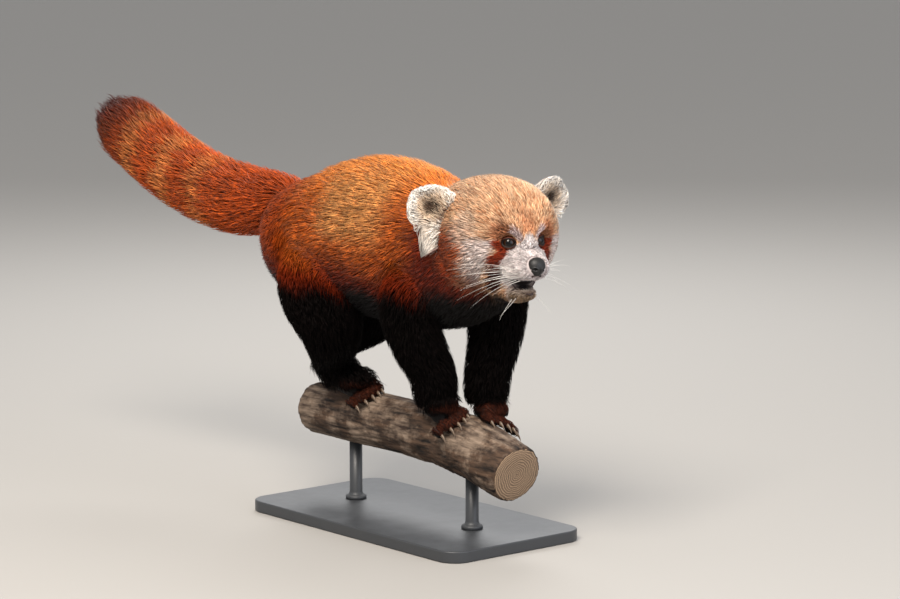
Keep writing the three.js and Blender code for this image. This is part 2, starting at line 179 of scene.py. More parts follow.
def catmull(knots: np.ndarray, share: np.ndarray) -> np.ndarray:
    """Points of a smooth line through knots.

    Args:
        knots: One row for each station.
        share: Places along the line, from 0 to 1.

    Returns:
        One row for each share.
    """
    ends = np.vstack([2 * knots[0] - knots[1], knots, 2 * knots[-1] - knots[-2]])
    step = np.clip(share, 0.0, 1.0) * (len(knots) - 1)
    first = np.minimum(step.astype(int), len(knots) - 2)
    f = (step - first)[:, None]
    before, start, stop, after = (ends[first + k] for k in range(4))
    leave, arrive = (stop - before) / 2, (after - start) / 2
    bend = 2 * start - 2 * stop + leave + arrive
    rise = -3 * start + 3 * stop - 2 * leave - arrive
    return ((bend * f + rise) * f + leave) * f + start


@dataclass
class Form:
    """A closed form of flesh: oval rings along a smooth line through a few stations.

    A station is x, y, z, half width, reach up and reach down, in millimetres.
    """

    stations: list
    side: tuple = (0.0, 1.0, 0.0)
    ends: tuple = (0.12, 0.12)
    full: float = 2.0

    def __post_init__(self) -> None:
        """Keeps the stations as one array."""
        self.knots = np.array(self.stations, float)

    def frame(self, share: np.ndarray) -> tuple:
        """The line's points, directions and section sizes at some shares of it.

        Args:
            share: Places along the line, from 0 to 1.

        Returns:
            Points, along, up and out directions, and half width, reach up and reach down.
        """
        step = 1e-3
        row = catmull(self.knots, share)
        along = unit(catmull(self.knots, np.clip(share + step, 0, 1))[:, :3]
                     - catmull(self.knots, np.clip(share - step, 0, 1))[:, :3])
        up = unit(np.cross(along, np.array(self.side)))
        out = unit(np.cross(up, along))
        return row[:, :3], along, up, out, row[:, 3:6]

    def swell(self, share: np.ndarray) -> np.ndarray:
        """The share of the full section that is left where the ends are rounded.

        Args:
            share: Places along the line, from 0 to 1.

        Returns:
            One factor for each place.
        """
        start, stop = self.ends
        short = np.maximum(0.0, np.maximum(1 - share / start, 1 - (1 - share) / stop))
        return np.sqrt(np.maximum(0.0, 1 - short * short))

    def surface(self, share: np.ndarray, angle: np.ndarray, grow: float = 0.0) -> np.ndarray:
        """Points of the surface, or off it.

        Args:
            share: Places along the line, from 0 to 1.
            angle: The turn round the line at each.
            grow: Millimetres off the surface.

        Returns:
            One point for each place.
        """
        point, _, up, out, size = self.frame(share)
        across, rise = np.cos(angle), np.sin(angle)
        if self.full != 2.0:
            across = np.sign(across) * np.abs(across) ** (2 / self.full)
            rise = np.sign(rise) * np.abs(rise) ** (2 / self.full)
        tall = np.where(rise > 0, size[:, 1], size[:, 2])
        swell = self.swell(share)
        return (point + out * ((size[:, 0] + grow) * swell * across)[:, None]
                + up * ((tall + grow) * swell * rise)[:, None])

    def loft(self, rings: int, sides: int, grow: float = 0.0, stop: float = 1.0) -> tuple:
        """The closed mesh of the form.

        Args:
            rings: How many rings along the line.
            sides: How many points round it.
            grow: How far off the stated sections, in millimetres.
            stop: The share of the line at which the mesh ends.

        Returns:
            Points and triangles.
        """
        turn = (1 - np.cos(np.linspace(0.06, math.pi - 0.06, rings))) / 2
        share = stop * (0.5 * turn + 0.5 * np.linspace(turn[0], turn[-1], rings))
        angle = np.arange(sides) * 2 * math.pi / sides
        points = self.surface(np.repeat(share, sides), np.tile(angle, rings), grow)
        return closed_loft(points.reshape(rings, sides, 3))

    def locate(self, points: np.ndarray, samples: int = 140) -> tuple:
        """Where points lie on the form.

        Args:
            points: Places in the form's own space, in millimetres.
            samples: How finely the line is searched.

        Returns:
            Share of the line, angle round it, distance outside the outline, and the line's direction.
        """
        shares = np.linspace(0, 1, samples)
        line, along, up, out, size = self.frame(shares)
        nearest = np.zeros(len(points), int)
        for start in range(0, len(points), 20_000):
            block = points[start:start + 20_000]
            square = (block ** 2).sum(1)[:, None] - 2 * block @ line.T + (line ** 2).sum(1)[None]
            nearest[start:start + 20_000] = square.argmin(1)
        away = points - line[nearest]
        beside = (away * out[nearest]).sum(1)
        rise = (away * up[nearest]).sum(1)
        ahead = (away * along[nearest]).sum(1)
        here = size[nearest]
        tall = np.where(rise > 0, here[:, 1], here[:, 2])
        level = np.sqrt((beside / here[:, 0]) ** 2 + (rise / tall) ** 2
                        + (np.where((nearest == 0) | (nearest == samples - 1), ahead, 0.0)
                           / here.mean(1)) ** 2)
        return (shares[nearest], np.arctan2(rise / tall, beside / here[:, 0]),
                (level - 1) * (here[:, 0] + tall) / 2, along[nearest])


def closed_loft(rings: np.ndarray) -> tuple:
    """Joins rings of points to a closed mesh with a fan at each end.

    Args:
        rings: An array of rings by sides by 3.

    Returns:
        Points and triangles.
    """
    count, sides, _ = rings.shape
    points = np.vstack([rings.reshape(-1, 3), rings[0].mean(0), rings[-1].mean(0)])
    i, j = np.meshgrid(np.arange(count - 1), np.arange(sides), indexing="ij")
    a, b = (i * sides + j).ravel(), (i * sides + (j + 1) % sides).ravel()
    first, last = count * sides, count * sides + 1
    side = np.arange(sides)
    following = (side + 1) % sides
    faces = np.vstack([
        np.stack([a, b, a + sides], 1), np.stack([b, b + sides, a + sides], 1),
        np.stack([np.full(sides, first), following, side], 1),
        np.stack([np.full(sides, last), side + (count - 1) * sides, following + (count - 1) * sides], 1),
    ])
    return points, faces


def build_mesh(name: str, points: np.ndarray, faces: np.ndarray, smooth: bool = True) -> bpy.types.Object:
    """Makes an object of a mesh whose place is in its points.

    Args:
        name: The piece's name.
        points: Places in metres.
        faces: Rows of point numbers, all of one length.
        smooth: Whether its faces are shaded smooth.

    Returns:
        The new object, linked to the scene.
    """
    mesh = bpy.data.meshes.new(name)
    count, corners = faces.shape
    mesh.vertices.add(len(points))
    mesh.vertices.foreach_set("co", np.asarray(points, np.float32).ravel())
    mesh.loops.add(count * corners)
    mesh.loops.foreach_set("vertex_index", np.asarray(faces, np.int32).ravel())
    mesh.polygons.add(count)
    mesh.polygons.foreach_set("loop_start", np.arange(count, dtype=np.int32) * corners)
    mesh.polygons.foreach_set("use_smooth", np.full(count, smooth))
    mesh.update(calc_edges=True)
    mesh.validate()
    piece = bpy.data.objects.new(name, mesh)
    bpy.context.scene.collection.objects.link(piece)
    return piece


def join_meshes(meshes: list) -> tuple:
    """Points and faces of several meshes as one.

    Args:
        meshes: Points and faces of each.

    Returns:
        Points and faces.
    """
    points, faces, start = [], [], 0
    for places, rows in meshes:
        points.append(places)
        faces.append(rows + start)
        start += len(places)
    return np.vstack(points), np.vstack(faces)


def outwards(points: np.ndarray, faces: np.ndarray) -> np.ndarray:
    """The faces of a closed mesh, turned so that they point out.

    Args:
        points: Its points.
        faces: Its faces.

    Returns:
        Rows of point numbers.
    """
    a, b, c = (points[faces[:, k]] for k in range(3))
    volume = (a * np.cross(b, c)).sum()
    return faces if volume > 0 else faces[:, ::-1]


def solid(name: str, lofts: list, scale: float = MM, smooth: bool = True) -> bpy.types.Object:
    """Makes one piece of closed meshes, each turned so that its faces point out.

    Args:
        name: The piece's name.
        lofts: Points and faces of each.
        scale: What turns their unit to metres.
        smooth: Whether its faces are shaded smooth.

    Returns:
        The new object.
    """
    points, faces = join_meshes([(places, outwards(places, rows)) for places, rows in lofts])
    return build_mesh(name, points * scale, faces, smooth)


def paint(piece: bpy.types.Object, colours: np.ndarray) -> None:
    """Stores one linear colour for each point of a piece.

    Args:
        piece: The piece.
        colours: One row for each point.
    """
    layer = piece.data.attributes.new(COLOUR, "FLOAT_COLOR", "POINT")
    full = np.ones((len(colours), 4), np.float32)
    full[:, :3] = np.clip(colours, 0, 1)
    layer.data.foreach_set("color", full.ravel())


def place(piece: bpy.types.Object, slot: str, finish: bpy.types.Material, *nodes: str) -> None:
    """Gives a finished piece its material and its body, and hides the nodes it stands for.

    Args:
        piece: The piece.
        slot: The slot's name. Not used.
        finish: The material.
        *nodes: The nodes' names.
    """
    piece.data.materials.clear()
    piece.data.materials.append(finish)
    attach(piece, BODY)
    if nodes:
        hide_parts(*nodes)
    log.info("%s: %d faces", piece.name, len(piece.data.polygons))


def add_node(tree: bpy.types.NodeTree, kind: str, inputs: dict | None = None, **settings) -> bpy.types.Node:
    """Adds a node to a tree.

    Args:
        tree: The tree.
        kind: The node's type name.
        inputs: A value or an output socket to link for each input's name or number.
        **settings: Properties of the node itself.

    Returns:
        The new node.
    """
    node = tree.nodes.new(kind)
    for name, value in settings.items():
        setattr(node, name, value)
    for name, value in (inputs or {}).items():
        if isinstance(value, bpy.types.NodeSocket):
            tree.links.new(value, node.inputs[name])
        else:
            node.inputs[name].default_value = value
    return node


def new_material(name: str) -> tuple:
    """A new empty material and its tree.

    Args:
        name: The real finish.

    Returns:
        The material and its tree.
    """
    material = bpy.data.materials.new(name)
    material.use_nodes = True
    material.node_tree.nodes.clear()
    return material, material.node_tree


def finish_tree(tree: bpy.types.NodeTree, shader: bpy.types.Node) -> None:
    """Links a shader to the material's output."""
    add_node(tree, "ShaderNodeOutputMaterial", {"Surface": shader.outputs[0]})


@dataclass(frozen=True)
class FurFinish:
    """Clean, dry fur. The hairs scatter light, with a soft gloss along the coat."""

    name: str
    roughness: float = 0.62
    sheen: float = 0.04
    gloss: float = 0.1
    shade_mm: float = 9.0

    def build(self) -> bpy.types.Material:
        """Makes the material, whose colour is the markings with a fine change from hair to hair.

        Returns:
            The material.
        """
        material, tree = new_material(self.name)
        colour = add_node(tree, "ShaderNodeAttribute", attribute_name=COLOUR)
        place_ = add_node(tree, "ShaderNodeTexCoord")
        shade = add_node(tree, "ShaderNodeTexNoise", {
            "Vector": place_.outputs["Object"], "Scale": 1 / (self.shade_mm * MM), "Detail": 3.0,
        })
        value = add_node(tree, "ShaderNodeMapRange", {
            "Value": shade.outputs["Fac"], "From Min": 0.3, "From Max": 0.7, "To Min": 0.82, "To Max": 1.16,
        })
        tinted = add_node(tree, "ShaderNodeHueSaturation", {
            "Color": colour.outputs["Color"], "Value": value.outputs[0],
        })
        shader = add_node(tree, "ShaderNodeBsdfPrincipled", {
            "Base Color": tinted.outputs[0], "Roughness": self.roughness, "Specular IOR Level": self.gloss,
            "Sheen Weight": self.sheen, "Sheen Roughness": 0.5,
        })
        finish_tree(tree, shader)
        return material


@dataclass(frozen=True)
class SkinFinish:
    """Bare or thinly haired hide, under the coat and on the lids: matt, with fine pores."""

    name: str = "haired hide"
    roughness: float = 0.75
    pore_mm: float = 1.2

    def build(self) -> bpy.types.Material:
        """Makes the material, which carries the colours painted on the piece.

        Returns:
            The material.
        """
        material, tree = new_material(self.name)
        colour = add_node(tree, "ShaderNodeAttribute", attribute_name=COLOUR)
        place_ = add_node(tree, "ShaderNodeTexCoord")
        pores = add_node(tree, "ShaderNodeTexNoise", {
            "Vector": place_.outputs["Object"], "Scale": 1 / (self.pore_mm * MM), "Detail": 2.0,
        })
        bump = add_node(tree, "ShaderNodeBump", {
            "Height": pores.outputs["Fac"], "Strength": 0.4, "Distance": 0.3 * MM,
        })
        shader = add_node(tree, "ShaderNodeBsdfPrincipled", {
            "Base Color": colour.outputs["Color"], "Roughness": self.roughness, "Specular IOR Level": 0.3,
            "Normal": bump.outputs[0],
        })
        finish_tree(tree, shader)
        return material


@dataclass(frozen=True)
class WetEyeFinish:
    """A living eye: a brown iris under a clear, wet cornea that mirrors the lights."""

    name: str = "wet cornea over brown iris"
    fibre_mm: float = 0.6

    def build(self) -> bpy.types.Material:
        """Makes the material, with the iris painted on the ball's points.

        Returns:
            The material.
        """
        material, tree = new_material(self.name)
        colour = add_node(tree, "ShaderNodeAttribute", attribute_name=COLOUR)
        place_ = add_node(tree, "ShaderNodeTexCoord")
        fibre = add_node(tree, "ShaderNodeTexNoise", {
            "Vector": place_.outputs["Object"], "Scale": 1 / (self.fibre_mm * MM), "Detail": 2.0,
        })
        value = add_node(tree, "ShaderNodeMapRange", {
            "Value": fibre.outputs["Fac"], "From Min": 0.3, "From Max": 0.7, "To Min": 0.75, "To Max": 1.3,
        })
        tinted = add_node(tree, "ShaderNodeHueSaturation", {
            "Color": colour.outputs["Color"], "Value": value.outputs[0],
        })
        shader = add_node(tree, "ShaderNodeBsdfPrincipled", {
            "Base Color": tinted.outputs[0], "Roughness": 0.14, "IOR": 1.33, "Coat Weight": 0.15,
            "Coat Roughness": 0.02, "Coat IOR": 1.33,
        })
        finish_tree(tree, shader)
        return material


@dataclass(frozen=True)
class MoistSkinFinish:
    """Bare skin of nose and lips: fine pebbled leather with a moist gloss."""

    name: str
    colour: str
    light: str
    roughness: float = 0.38
    pebble_mm: float = 0.9

    def build(self) -> bpy.types.Material:
        """Makes the material, with pebbles coarser than the real ones so that they show.

        Returns:
            The material.
        """
        material, tree = new_material(self.name)
        place_ = add_node(tree, "ShaderNodeTexCoord")
        cells = add_node(tree, "ShaderNodeTexVoronoi", {
            "Vector": place_.outputs["Object"], "Scale": 1 / (self.pebble_mm * MM),
        })
        patches = add_node(tree, "ShaderNodeTexNoise", {
            "Vector": place_.outputs["Object"], "Scale": 1 / (5 * MM), "Detail": 2.0,
        })
        tint = add_node(tree, "ShaderNodeMix", {
            0: patches.outputs["Fac"], 6: rgba(self.colour), 7: rgba(self.light),
        }, data_type="RGBA")
        bump = add_node(tree, "ShaderNodeBump", {
            "Height": cells.outputs["Distance"], "Strength": 0.5, "Distance": 0.25 * MM,
        })
        shader = add_node(tree, "ShaderNodeBsdfPrincipled", {
            "Base Color": tint.outputs[2], "Roughness": self.roughness, "Specular IOR Level": 0.5,
            "Normal": bump.outputs[0],
        })
        finish_tree(tree, shader)
        return material


@dataclass(frozen=True)
class HornFinish:
    """Claw or whisker: translucent horn, smooth, with faint lengthwise lines."""

    name: str
    colour: str
    dark: str
    roughness: float = 0.35
    line_mm: float = 1.5

    def build(self) -> bpy.types.Material:
        """Makes the material with lines along the walking direction.

        Returns:
            The material.
        """
        material, tree = new_material(self.name)
        place_ = add_node(tree, "ShaderNodeTexCoord")
        stretch = add_node(tree, "ShaderNodeMapping", {
            "Vector": place_.outputs["Object"], "Scale": (0.2, 1.0, 1.0),
        })
        lines = add_node(tree, "ShaderNodeTexNoise", {
            "Vector": stretch.outputs[0], "Scale": 1 / (self.line_mm * MM), "Detail": 2.0,
        })
        tint = add_node(tree, "ShaderNodeMix", {
            0: lines.outputs["Fac"], 6: rgba(self.dark), 7: rgba(self.colour),
        }, data_type="RGBA")
        shader = add_node(tree, "ShaderNodeBsdfPrincipled", {
            "Base Color": tint.outputs[2], "Roughness": self.roughness,
        })
        finish_tree(tree, shader)
        return material


@dataclass(frozen=True)
class BarkFinish:
    """Weathered hardwood bark: dull, split lengthwise, rubbed bare and grey-brown in patches."""

    name: str = "weathered bark"
    crack_mm: float = 7.0
    patch_mm: float = 38.0

    def build(self) -> bpy.types.Material:
        """Makes the material with cracks that run along the branch.

        Returns:
            The material.
        """
        material, tree = new_material(self.name)
        place_ = add_node(tree, "ShaderNodeTexCoord")
        stretch = add_node(tree, "ShaderNodeMapping", {
            "Vector": place_.outputs["Object"], "Scale": (0.16, 1.0, 1.0),
        })
        cracks = add_node(tree, "ShaderNodeTexNoise", {
            "Vector": stretch.outputs[0], "Scale": 1 / (self.crack_mm * MM), "Detail": 8.0, "Roughness": 0.62,
        })
        patches = add_node(tree, "ShaderNodeTexNoise", {
            "Vector": place_.outputs["Object"], "Scale": 1 / (self.patch_mm * MM), "Detail": 5.0,
            "Roughness": 0.65,
        })
        bark = add_node(tree, "ShaderNodeValToRGB", {"Fac": cracks.outputs["Fac"]})
        bark.color_ramp.elements[0].position, bark.color_ramp.elements[1].position = 0.36, 0.66
        bark.color_ramp.elements[0].color = rgba("0F0A08")
        bark.color_ramp.elements[1].color = rgba("5A4536")
        worn = add_node(tree, "ShaderNodeValToRGB", {"Fac": cracks.outputs["Fac"]})
        worn.color_ramp.elements[0].position, worn.color_ramp.elements[1].position = 0.34, 0.62
        worn.color_ramp.elements[0].color = rgba("2E211A")
        worn.color_ramp.elements[1].color = rgba("8A7868")
        where = add_node(tree, "ShaderNodeMapRange", {
            "Value": patches.outputs["Fac"], "From Min": 0.47, "From Max": 0.60,
        })
        tint = add_node(tree, "ShaderNodeMix", {
            0: where.outputs[0], 6: bark.outputs[0], 7: worn.outputs[0],
        }, data_type="RGBA")
        bump = add_node(tree, "ShaderNodeBump", {
            "Height": cracks.outputs["Fac"], "Strength": 0.8, "Distance": 1.6 * MM,
        })
        shader = add_node(tree, "ShaderNodeBsdfPrincipled", {
            "Base Color": tint.outputs[2], "Roughness": 0.82, "Specular IOR Level": 0.3,
            "Normal": bump.outputs[0],
        })
        finish_tree(tree, shader)
        return material


@dataclass(frozen=True)
class CutWoodFinish:
    """Sawn end grain: dry, greyed wood with growth rings round the pith."""

    name: str = "sawn end grain"
    ring_mm: float = 2.6
    fibre_mm: float = 1.1

    def build(self) -> bpy.types.Material:
        """Makes the material from each point's distance to the pith.

        Returns:
            The material.
        """
        material, tree = new_material(self.name)
        reach = add_node(tree, "ShaderNodeAttribute", attribute_name=GRAIN)
        place_ = add_node(tree, "ShaderNodeTexCoord")
        drift = add_node(tree, "ShaderNodeTexNoise", {
            "Vector": place_.outputs["Object"], "Scale": 1 / (24 * MM), "Detail": 2.0,
        })
        bent = add_node(tree, "ShaderNodeMath", {
            0: drift.outputs["Fac"], 1: 12 * MM, 2: reach.outputs["Fac"],
        }, operation="MULTIPLY_ADD")
        phase = add_node(tree, "ShaderNodeMath", {0: bent.outputs[0], 1: 2 * math.pi / (self.ring_mm * MM)},
                         operation="MULTIPLY")
        rings = add_node(tree, "ShaderNodeMath", {0: phase.outputs[0]}, operation="SINE")
        share = add_node(tree, "ShaderNodeMapRange", {"Value": rings.outputs[0], "From Min": -1.0})
        fibre = add_node(tree, "ShaderNodeTexNoise", {
            "Vector": place_.outputs["Object"], "Scale": 1 / (self.fibre_mm * MM), "Detail": 3.0,
        })
        tint = add_node(tree, "ShaderNodeMix", {
            0: share.outputs[0], 6: rgba("5E452E"), 7: rgba("A2825E"),
        }, data_type="RGBA")
        dirt = add_node(tree, "ShaderNodeMapRange", {
            "Value": fibre.outputs["Fac"], "From Min": 0.35, "From Max": 0.65, "To Min": 0.7, "To Max": 1.1,
        })
        greyed = add_node(tree, "ShaderNodeHueSaturation", {
            "Color": tint.outputs[2], "Value": dirt.outputs[0], "Saturation": 0.85,
        })
        shader = add_node(tree, "ShaderNodeBsdfPrincipled", {
            "Base Color": greyed.outputs[0], "Roughness": 0.8,
        })
        finish_tree(tree, shader)
        return material


@dataclass(frozen=True)
class SatinPaintFinish:
    """Satin enamel on steel, sprayed: an even grey with a fine orange-peel surface."""

    name: str = "satin enamel on steel"
    colour: str = "35373A"
    peel_mm: float = 1.4

    def build(self) -> bpy.types.Material:
        """Makes the material with the spray's fine waves in its gloss.

        Returns:
            The material.
        """
        material, tree = new_material(self.name)
        place_ = add_node(tree, "ShaderNodeTexCoord")
        peel = add_node(tree, "ShaderNodeTexNoise", {
            "Vector": place_.outputs["Object"], "Scale": 1 / (self.peel_mm * MM), "Detail": 2.0,
        })
        wear = add_node(tree, "ShaderNodeTexNoise", {
            "Vector": place_.outputs["Object"], "Scale": 1 / (40 * MM), "Detail": 4.0,
        })
        rough = add_node(tree, "ShaderNodeMapRange", {
            "Value": wear.outputs["Fac"], "From Min": 0.3, "From Max": 0.7, "To Min": 0.36, "To Max": 0.5,
        })
        bump = add_node(tree, "ShaderNodeBump", {
            "Height": peel.outputs["Fac"], "Strength": 0.15, "Distance": 0.1 * MM,
        })
        shader = add_node(tree, "ShaderNodeBsdfPrincipled", {
            "Base Color": rgba(self.colour), "Roughness": rough.outputs[0], "Normal": bump.outputs[0],
        })
        finish_tree(tree, shader)
        return material


@dataclass(frozen=True)
class StudioFloorFinish:
    """Matt pale paper under the stand."""

    name: str = "pale matt paper"
    colour: str = "A29F9B"

    def build(self) -> bpy.types.Material:
        """Makes the plain material.

        Returns:
            The material.
        """
        material, tree = new_material(self.name)
        shader = add_node(tree, "ShaderNodeBsdfPrincipled", {
            "Base Color": rgba(self.colour), "Roughness": 0.9, "Specular IOR Level": 0.2,
        })
        finish_tree(tree, shader)
        return material


def matrix_of(place_: Matrix) -> np.ndarray:
    """A Blender matrix as an array."""
    return np.array(place_, float)


HEAD_PLACE = matrix_of(
    Matrix.Translation(HEAD_AT)
    @ Matrix.Rotation(math.radians(HEAD_TURN), 4, "Z")
    @ Matrix.Rotation(math.radians(HEAD_NOD), 4, "Y")
)


def from_head(points: np.ndarray) -> np.ndarray:
    """Head places in the model's frame, both in millimetres."""
    return points @ HEAD_PLACE[:3, :3].T + HEAD_PLACE[:3, 3]


def to_head(points: np.ndarray) -> np.ndarray:
    """The model's places in the head's own frame, both in millimetres."""
    return (points - HEAD_PLACE[:3, 3]) @ HEAD_PLACE[:3, :3]


def eye_frame(way: int) -> np.ndarray:
    """An eye's own frame in the model's, in millimetres: +X looks out of the head.

    Args:
        way: -1 for the right eye, 1 for the left.

    Returns:
        A matrix of 4 by 4.
    """
    own = matrix_of(Matrix.Translation((EYE_AT[0], way * EYE_AT[1], EYE_AT[2]))
                    @ Matrix.Rotation(way * math.radians(EYE_FACE), 4, "Z")
                    @ Matrix.Rotation(math.radians(-EYE_LIFT), 4, "Y"))
    return HEAD_PLACE @ own


@dataclass
class Ear:
    """A rounded ear: a thin leaf with a cup in front, seen from its own middle."""

    way: int
    wide: float = EAR_WIDE
    tall: float = EAR_TALL
    thick: float = 3.2
    cup: float = 10.0
    set_back: float = -6.0

    def __post_init__(self) -> None:
        """Works out the ear's directions in the head's frame."""
        self.tip = unit(np.array([-0.14, 0.78 * self.way, 0.6]))
        face = np.array([0.88, 0.47 * self.way, 0.1])
        self.face = unit(face - self.tip * (face @ self.tip))
        self.across = np.cross(self.tip, self.face)
        self.middle = np.array([EAR_AT[0], EAR_AT[1] * self.way, EAR_AT[2]])

    def to_own(self, head: np.ndarray) -> np.ndarray:
        """Head places in the ear's frame: across, towards the tip, and out of the cup."""
        return (head - self.middle) @ np.stack([self.across, self.tip, self.face], 1)

    def from_own(self, own: np.ndarray) -> np.ndarray:
        """Ear places in the head's frame."""
        return self.middle + own @ np.stack([self.across, self.tip, self.face])

    def half(self, rise: np.ndarray) -> np.ndarray:
        """The ear's half width at a height, from -1 at the root to 1 at the tip."""
        above = np.sqrt(np.maximum(0.0, 1 - np.clip(rise, 0, 1) ** 2.2))
        return self.wide * np.where(rise > 0, above, 1 - 0.16 * rise ** 2)

    def shell(self) -> tuple:
        """The closed leaf in the head's frame.

        Returns:
            Points and triangles.
        """
        rises = 0.84 - 2.09 * np.linspace(1, 0, 44) ** 1.35
        angle = np.arange(44) * 2 * math.pi / 44
        wide = np.maximum(self.half(np.clip(rises * 1.08, -1, 1))[:, None] - 5.0, 1.0)
        share = np.cos(angle)[None, :]
        out = (self.set_back + self.cup * share ** 2 * np.ones((len(rises), 1))
               + self.thick * np.sin(angle)[None, :])
        own = np.stack([wide * share, rises[:, None] * self.tall * np.ones_like(share), out], 2)
        points, faces = closed_loft(own)
        return self.from_own(points), faces


@dataclass
class Paw:
    """A paw on the branch: sole, and five toes that bend over it."""

    x: float
    y: float
    heel: float
    reach: float
    toes: int = 5
    pitch: float = 8.8
    radius: float = 6.6
    claw: float = 8.5

    def top(self) -> float:
        """The height of the branch's upper side under the paw."""
        share = np.array([min(1.0, max(0.0, (self.x - BRANCH_BACK) / (BRANCH_FRONT - BRANCH_BACK)))])
        return float(BRANCH.frame(share)[0][0, 2]) + BRANCH_RADIUS

    def toe_line(self, number: int) -> list:
        """Three points of a toe: its root, its knuckle and its end.

        Args:
            number: Which toe, from the right.

        Returns:
            Three places in millimetres.
        """
        top = self.top()
        spread = number - (self.toes - 1) / 2
        outer = self.y + spread * self.pitch
        fall = outer * outer / (2.6 * BRANCH_RADIUS)
        reach = self.reach - spread * spread * 1.7
        out = outer + spread * 1.2
        return [(self.x + 4, outer, top + 6 - fall), (self.x + reach * 0.62, out, top + 7.5 - fall),
                (self.x + reach, out, top + 1.5 - fall)]

    def forms(self) -> list:
        """The sole and the toes.

        Returns:
            A form for each.
        """
        top, r = self.top(), self.radius
        made = [Form([(self.x - self.heel, self.y, top + 10, 15, 13, 14),
                      (self.x - 4, self.y, top + 13, 20, 15, 22),
                      (self.x + 14, self.y, top + 7, 21, 12, 20)], ends=(0.3, 0.35))]
        for number in range(self.toes):
            made.append(Form([(*p, r, r, r) for p in self.toe_line(number)], ends=(0.2, 0.28)))
        return made

    def claw_rings(self, number: int) -> np.ndarray:
        """Rings of one curved, tapered claw in millimetres.

        Args:
            number: Which toe, from the right.

        Returns:
            Rings by sides by 3.
        """
        x, y, z = self.toe_line(number)[-1]
        rings = []
        for share in np.linspace(0, 1, 9):
            centre = (x + 1 + self.claw * share, y, z + 2.5 - 1.0 * share - 7.5 * share ** 2.2)
            r = 2.6 * (1 - share) ** 0.7 + 0.12
            angle = np.arange(12) * 2 * math.pi / 12
            rings.append(np.stack([np.full(12, centre[0]) + r * 0.5 * share * np.sin(angle),
                                   centre[1] + 0.62 * r * np.cos(angle),
                                   centre[2] + r * np.sin(angle)], 1))
        return np.array(rings)


BRANCH = Form([
    (BRANCH_BACK, 0, BRANCH_TOP - BRANCH_RADIUS, 33, 33, 33),
    (-90, 1, BRANCH_TOP - BRANCH_RADIUS + 1, 35, 35, 35),
    (20, 0, BRANCH_TOP - BRANCH_RADIUS + 1, 36, 36, 36),
    (80, 0, BRANCH_TOP - BRANCH_RADIUS - 2, 37, 37, 37),
    (130, -1, BRANCH_TOP - BRANCH_RADIUS - 9, 38, 38, 38),
    (BRANCH_FRONT, -3, BRANCH_TOP - BRANCH_RADIUS - 25, 36, 36, 36),
], ends=(0.006, 0.006))

PAWS = (Paw(88, -25, 24, 26), Paw(121, 24.5, 24, 26), Paw(-82, -21, 44, 28), Paw(-168, 21, 44, 28))
PAW_NAMES = ("forepaw_right", "forepaw_left", "hindpaw_right", "hindpaw_left")
EARS = {Part.EAR_RIGHT: Ear(-1), Part.EAR_LEFT: Ear(1)}


def leg_form(*line: tuple) -> Form:
    """A leg as a line from its paw up into the body, with a radius at each point."""
    return Form([(x, y, z, r * 0.92, r, r) for x, y, z, r in line], ends=(0.1, 0.2))


def outlined(*profile: tuple, ends: tuple) -> Form:
    """A form of the head from its outline: x, top, bottom and half width."""
    return Form([(x, 0, (top + bottom) / 2, wide, (top - bottom) / 2, (top - bottom) / 2)
                 for x, top, bottom, wide in profile], ends=ends, full=2.2)


SKULL = outlined(
    (-78, 42, -48, 46), (-50, 59, -60, 60), (-18, 66, -66, 68), (10, 62, -70, 68), (30, 48, -72, 59),
    (43, 30, -71, 44), (55, 11, -67, 30.5), (66, -4, -60, 23), ends=(0.12, 0.1),
)
MUZZLE = outlined(
    (36, 6, -50, 28), (58, 1, -48, 27), (72, -6, -43, 24), (84, -11, -39, 20), (94, -15, -36.5, 14),
    ends=(0.1, 0.3),
)
JAW = outlined(
    (0, -38, -70, 16), (40, -46, -69, 17), (57, -51, -65.5, 14), (68, -53, -62.5, 11),
    (77, -53.5, -60.5, 8), ends=(0.1, 0.35),
)

FORMS = {
    Part.TRUNK: Form([
        (-252, 0, 352, 42, 34, 56), (-205, 0, 345, 70, 62, 85), (-145, 0, 345, 84, 79, 90),
        (-60, 0, 350, 85, 96, 99), (10, 0, 345, 81, 97, 96), (72, 0, 340, 77, 89, 87),
        (122, -3, 350, 68, 79, 76), (168, -11, 363, 60, 64, 58),
    ], ends=(0.1, 0.1)),
    Part.TAIL: Form([
        (-205, 0, 364, 34, 30, 36), (-250, 0, 364, 42, 40, 46), (-310, -6, 367, 44, 43, 46),
        (-380, -15, 376, 45, 45, 45), (-450, -27, 400, 45, 45, 45), (-520, -37, 436, 43, 43, 43),
        (-560, -43, 458, 41, 43, 40), (-588, -46, 472, 37, 41, 36),
    ], ends=(0.08, 0.12)),
    Part.FORELEG_RIGHT: leg_form((76, -26, 160, 29), (75, -31, 200, 31), (66, -47, 240, 35),
                                 (60, -56, 285, 38), (66, -50, 335, 34)),
    Part.FORELEG_LEFT: leg_form((108, 24, 160, 29), (107, 29, 200, 31), (103, 43, 240, 35),
                                (97, 54, 285, 38), (88, 50, 335, 34)),
    Part.HINDLEG_RIGHT: leg_form((-104, -26, 162, 27), (-112, -36, 200, 30), (-92, -56, 240, 43),
                                 (-112, -57, 285, 53), (-150, -48, 345, 42)),
    Part.HINDLEG_LEFT: leg_form((-190, 26, 162, 27), (-198, 36, 200, 30), (-155, 56, 240, 43),
                                (-155, 57, 285, 53), (-165, 48, 345, 42)),
    Part.HEAD: SKULL,
}

# How far the skin lies inside each form, in millimetres: the depth of the coat there
INSET = {
    Part.TRUNK: 13.0, Part.TAIL: 19.0, Part.FORELEG_RIGHT: 10.0, Part.FORELEG_LEFT: 10.0,
    Part.HINDLEG_RIGHT: 10.0, Part.HINDLEG_LEFT: 10.0, Part.HEAD: 7.5,
}
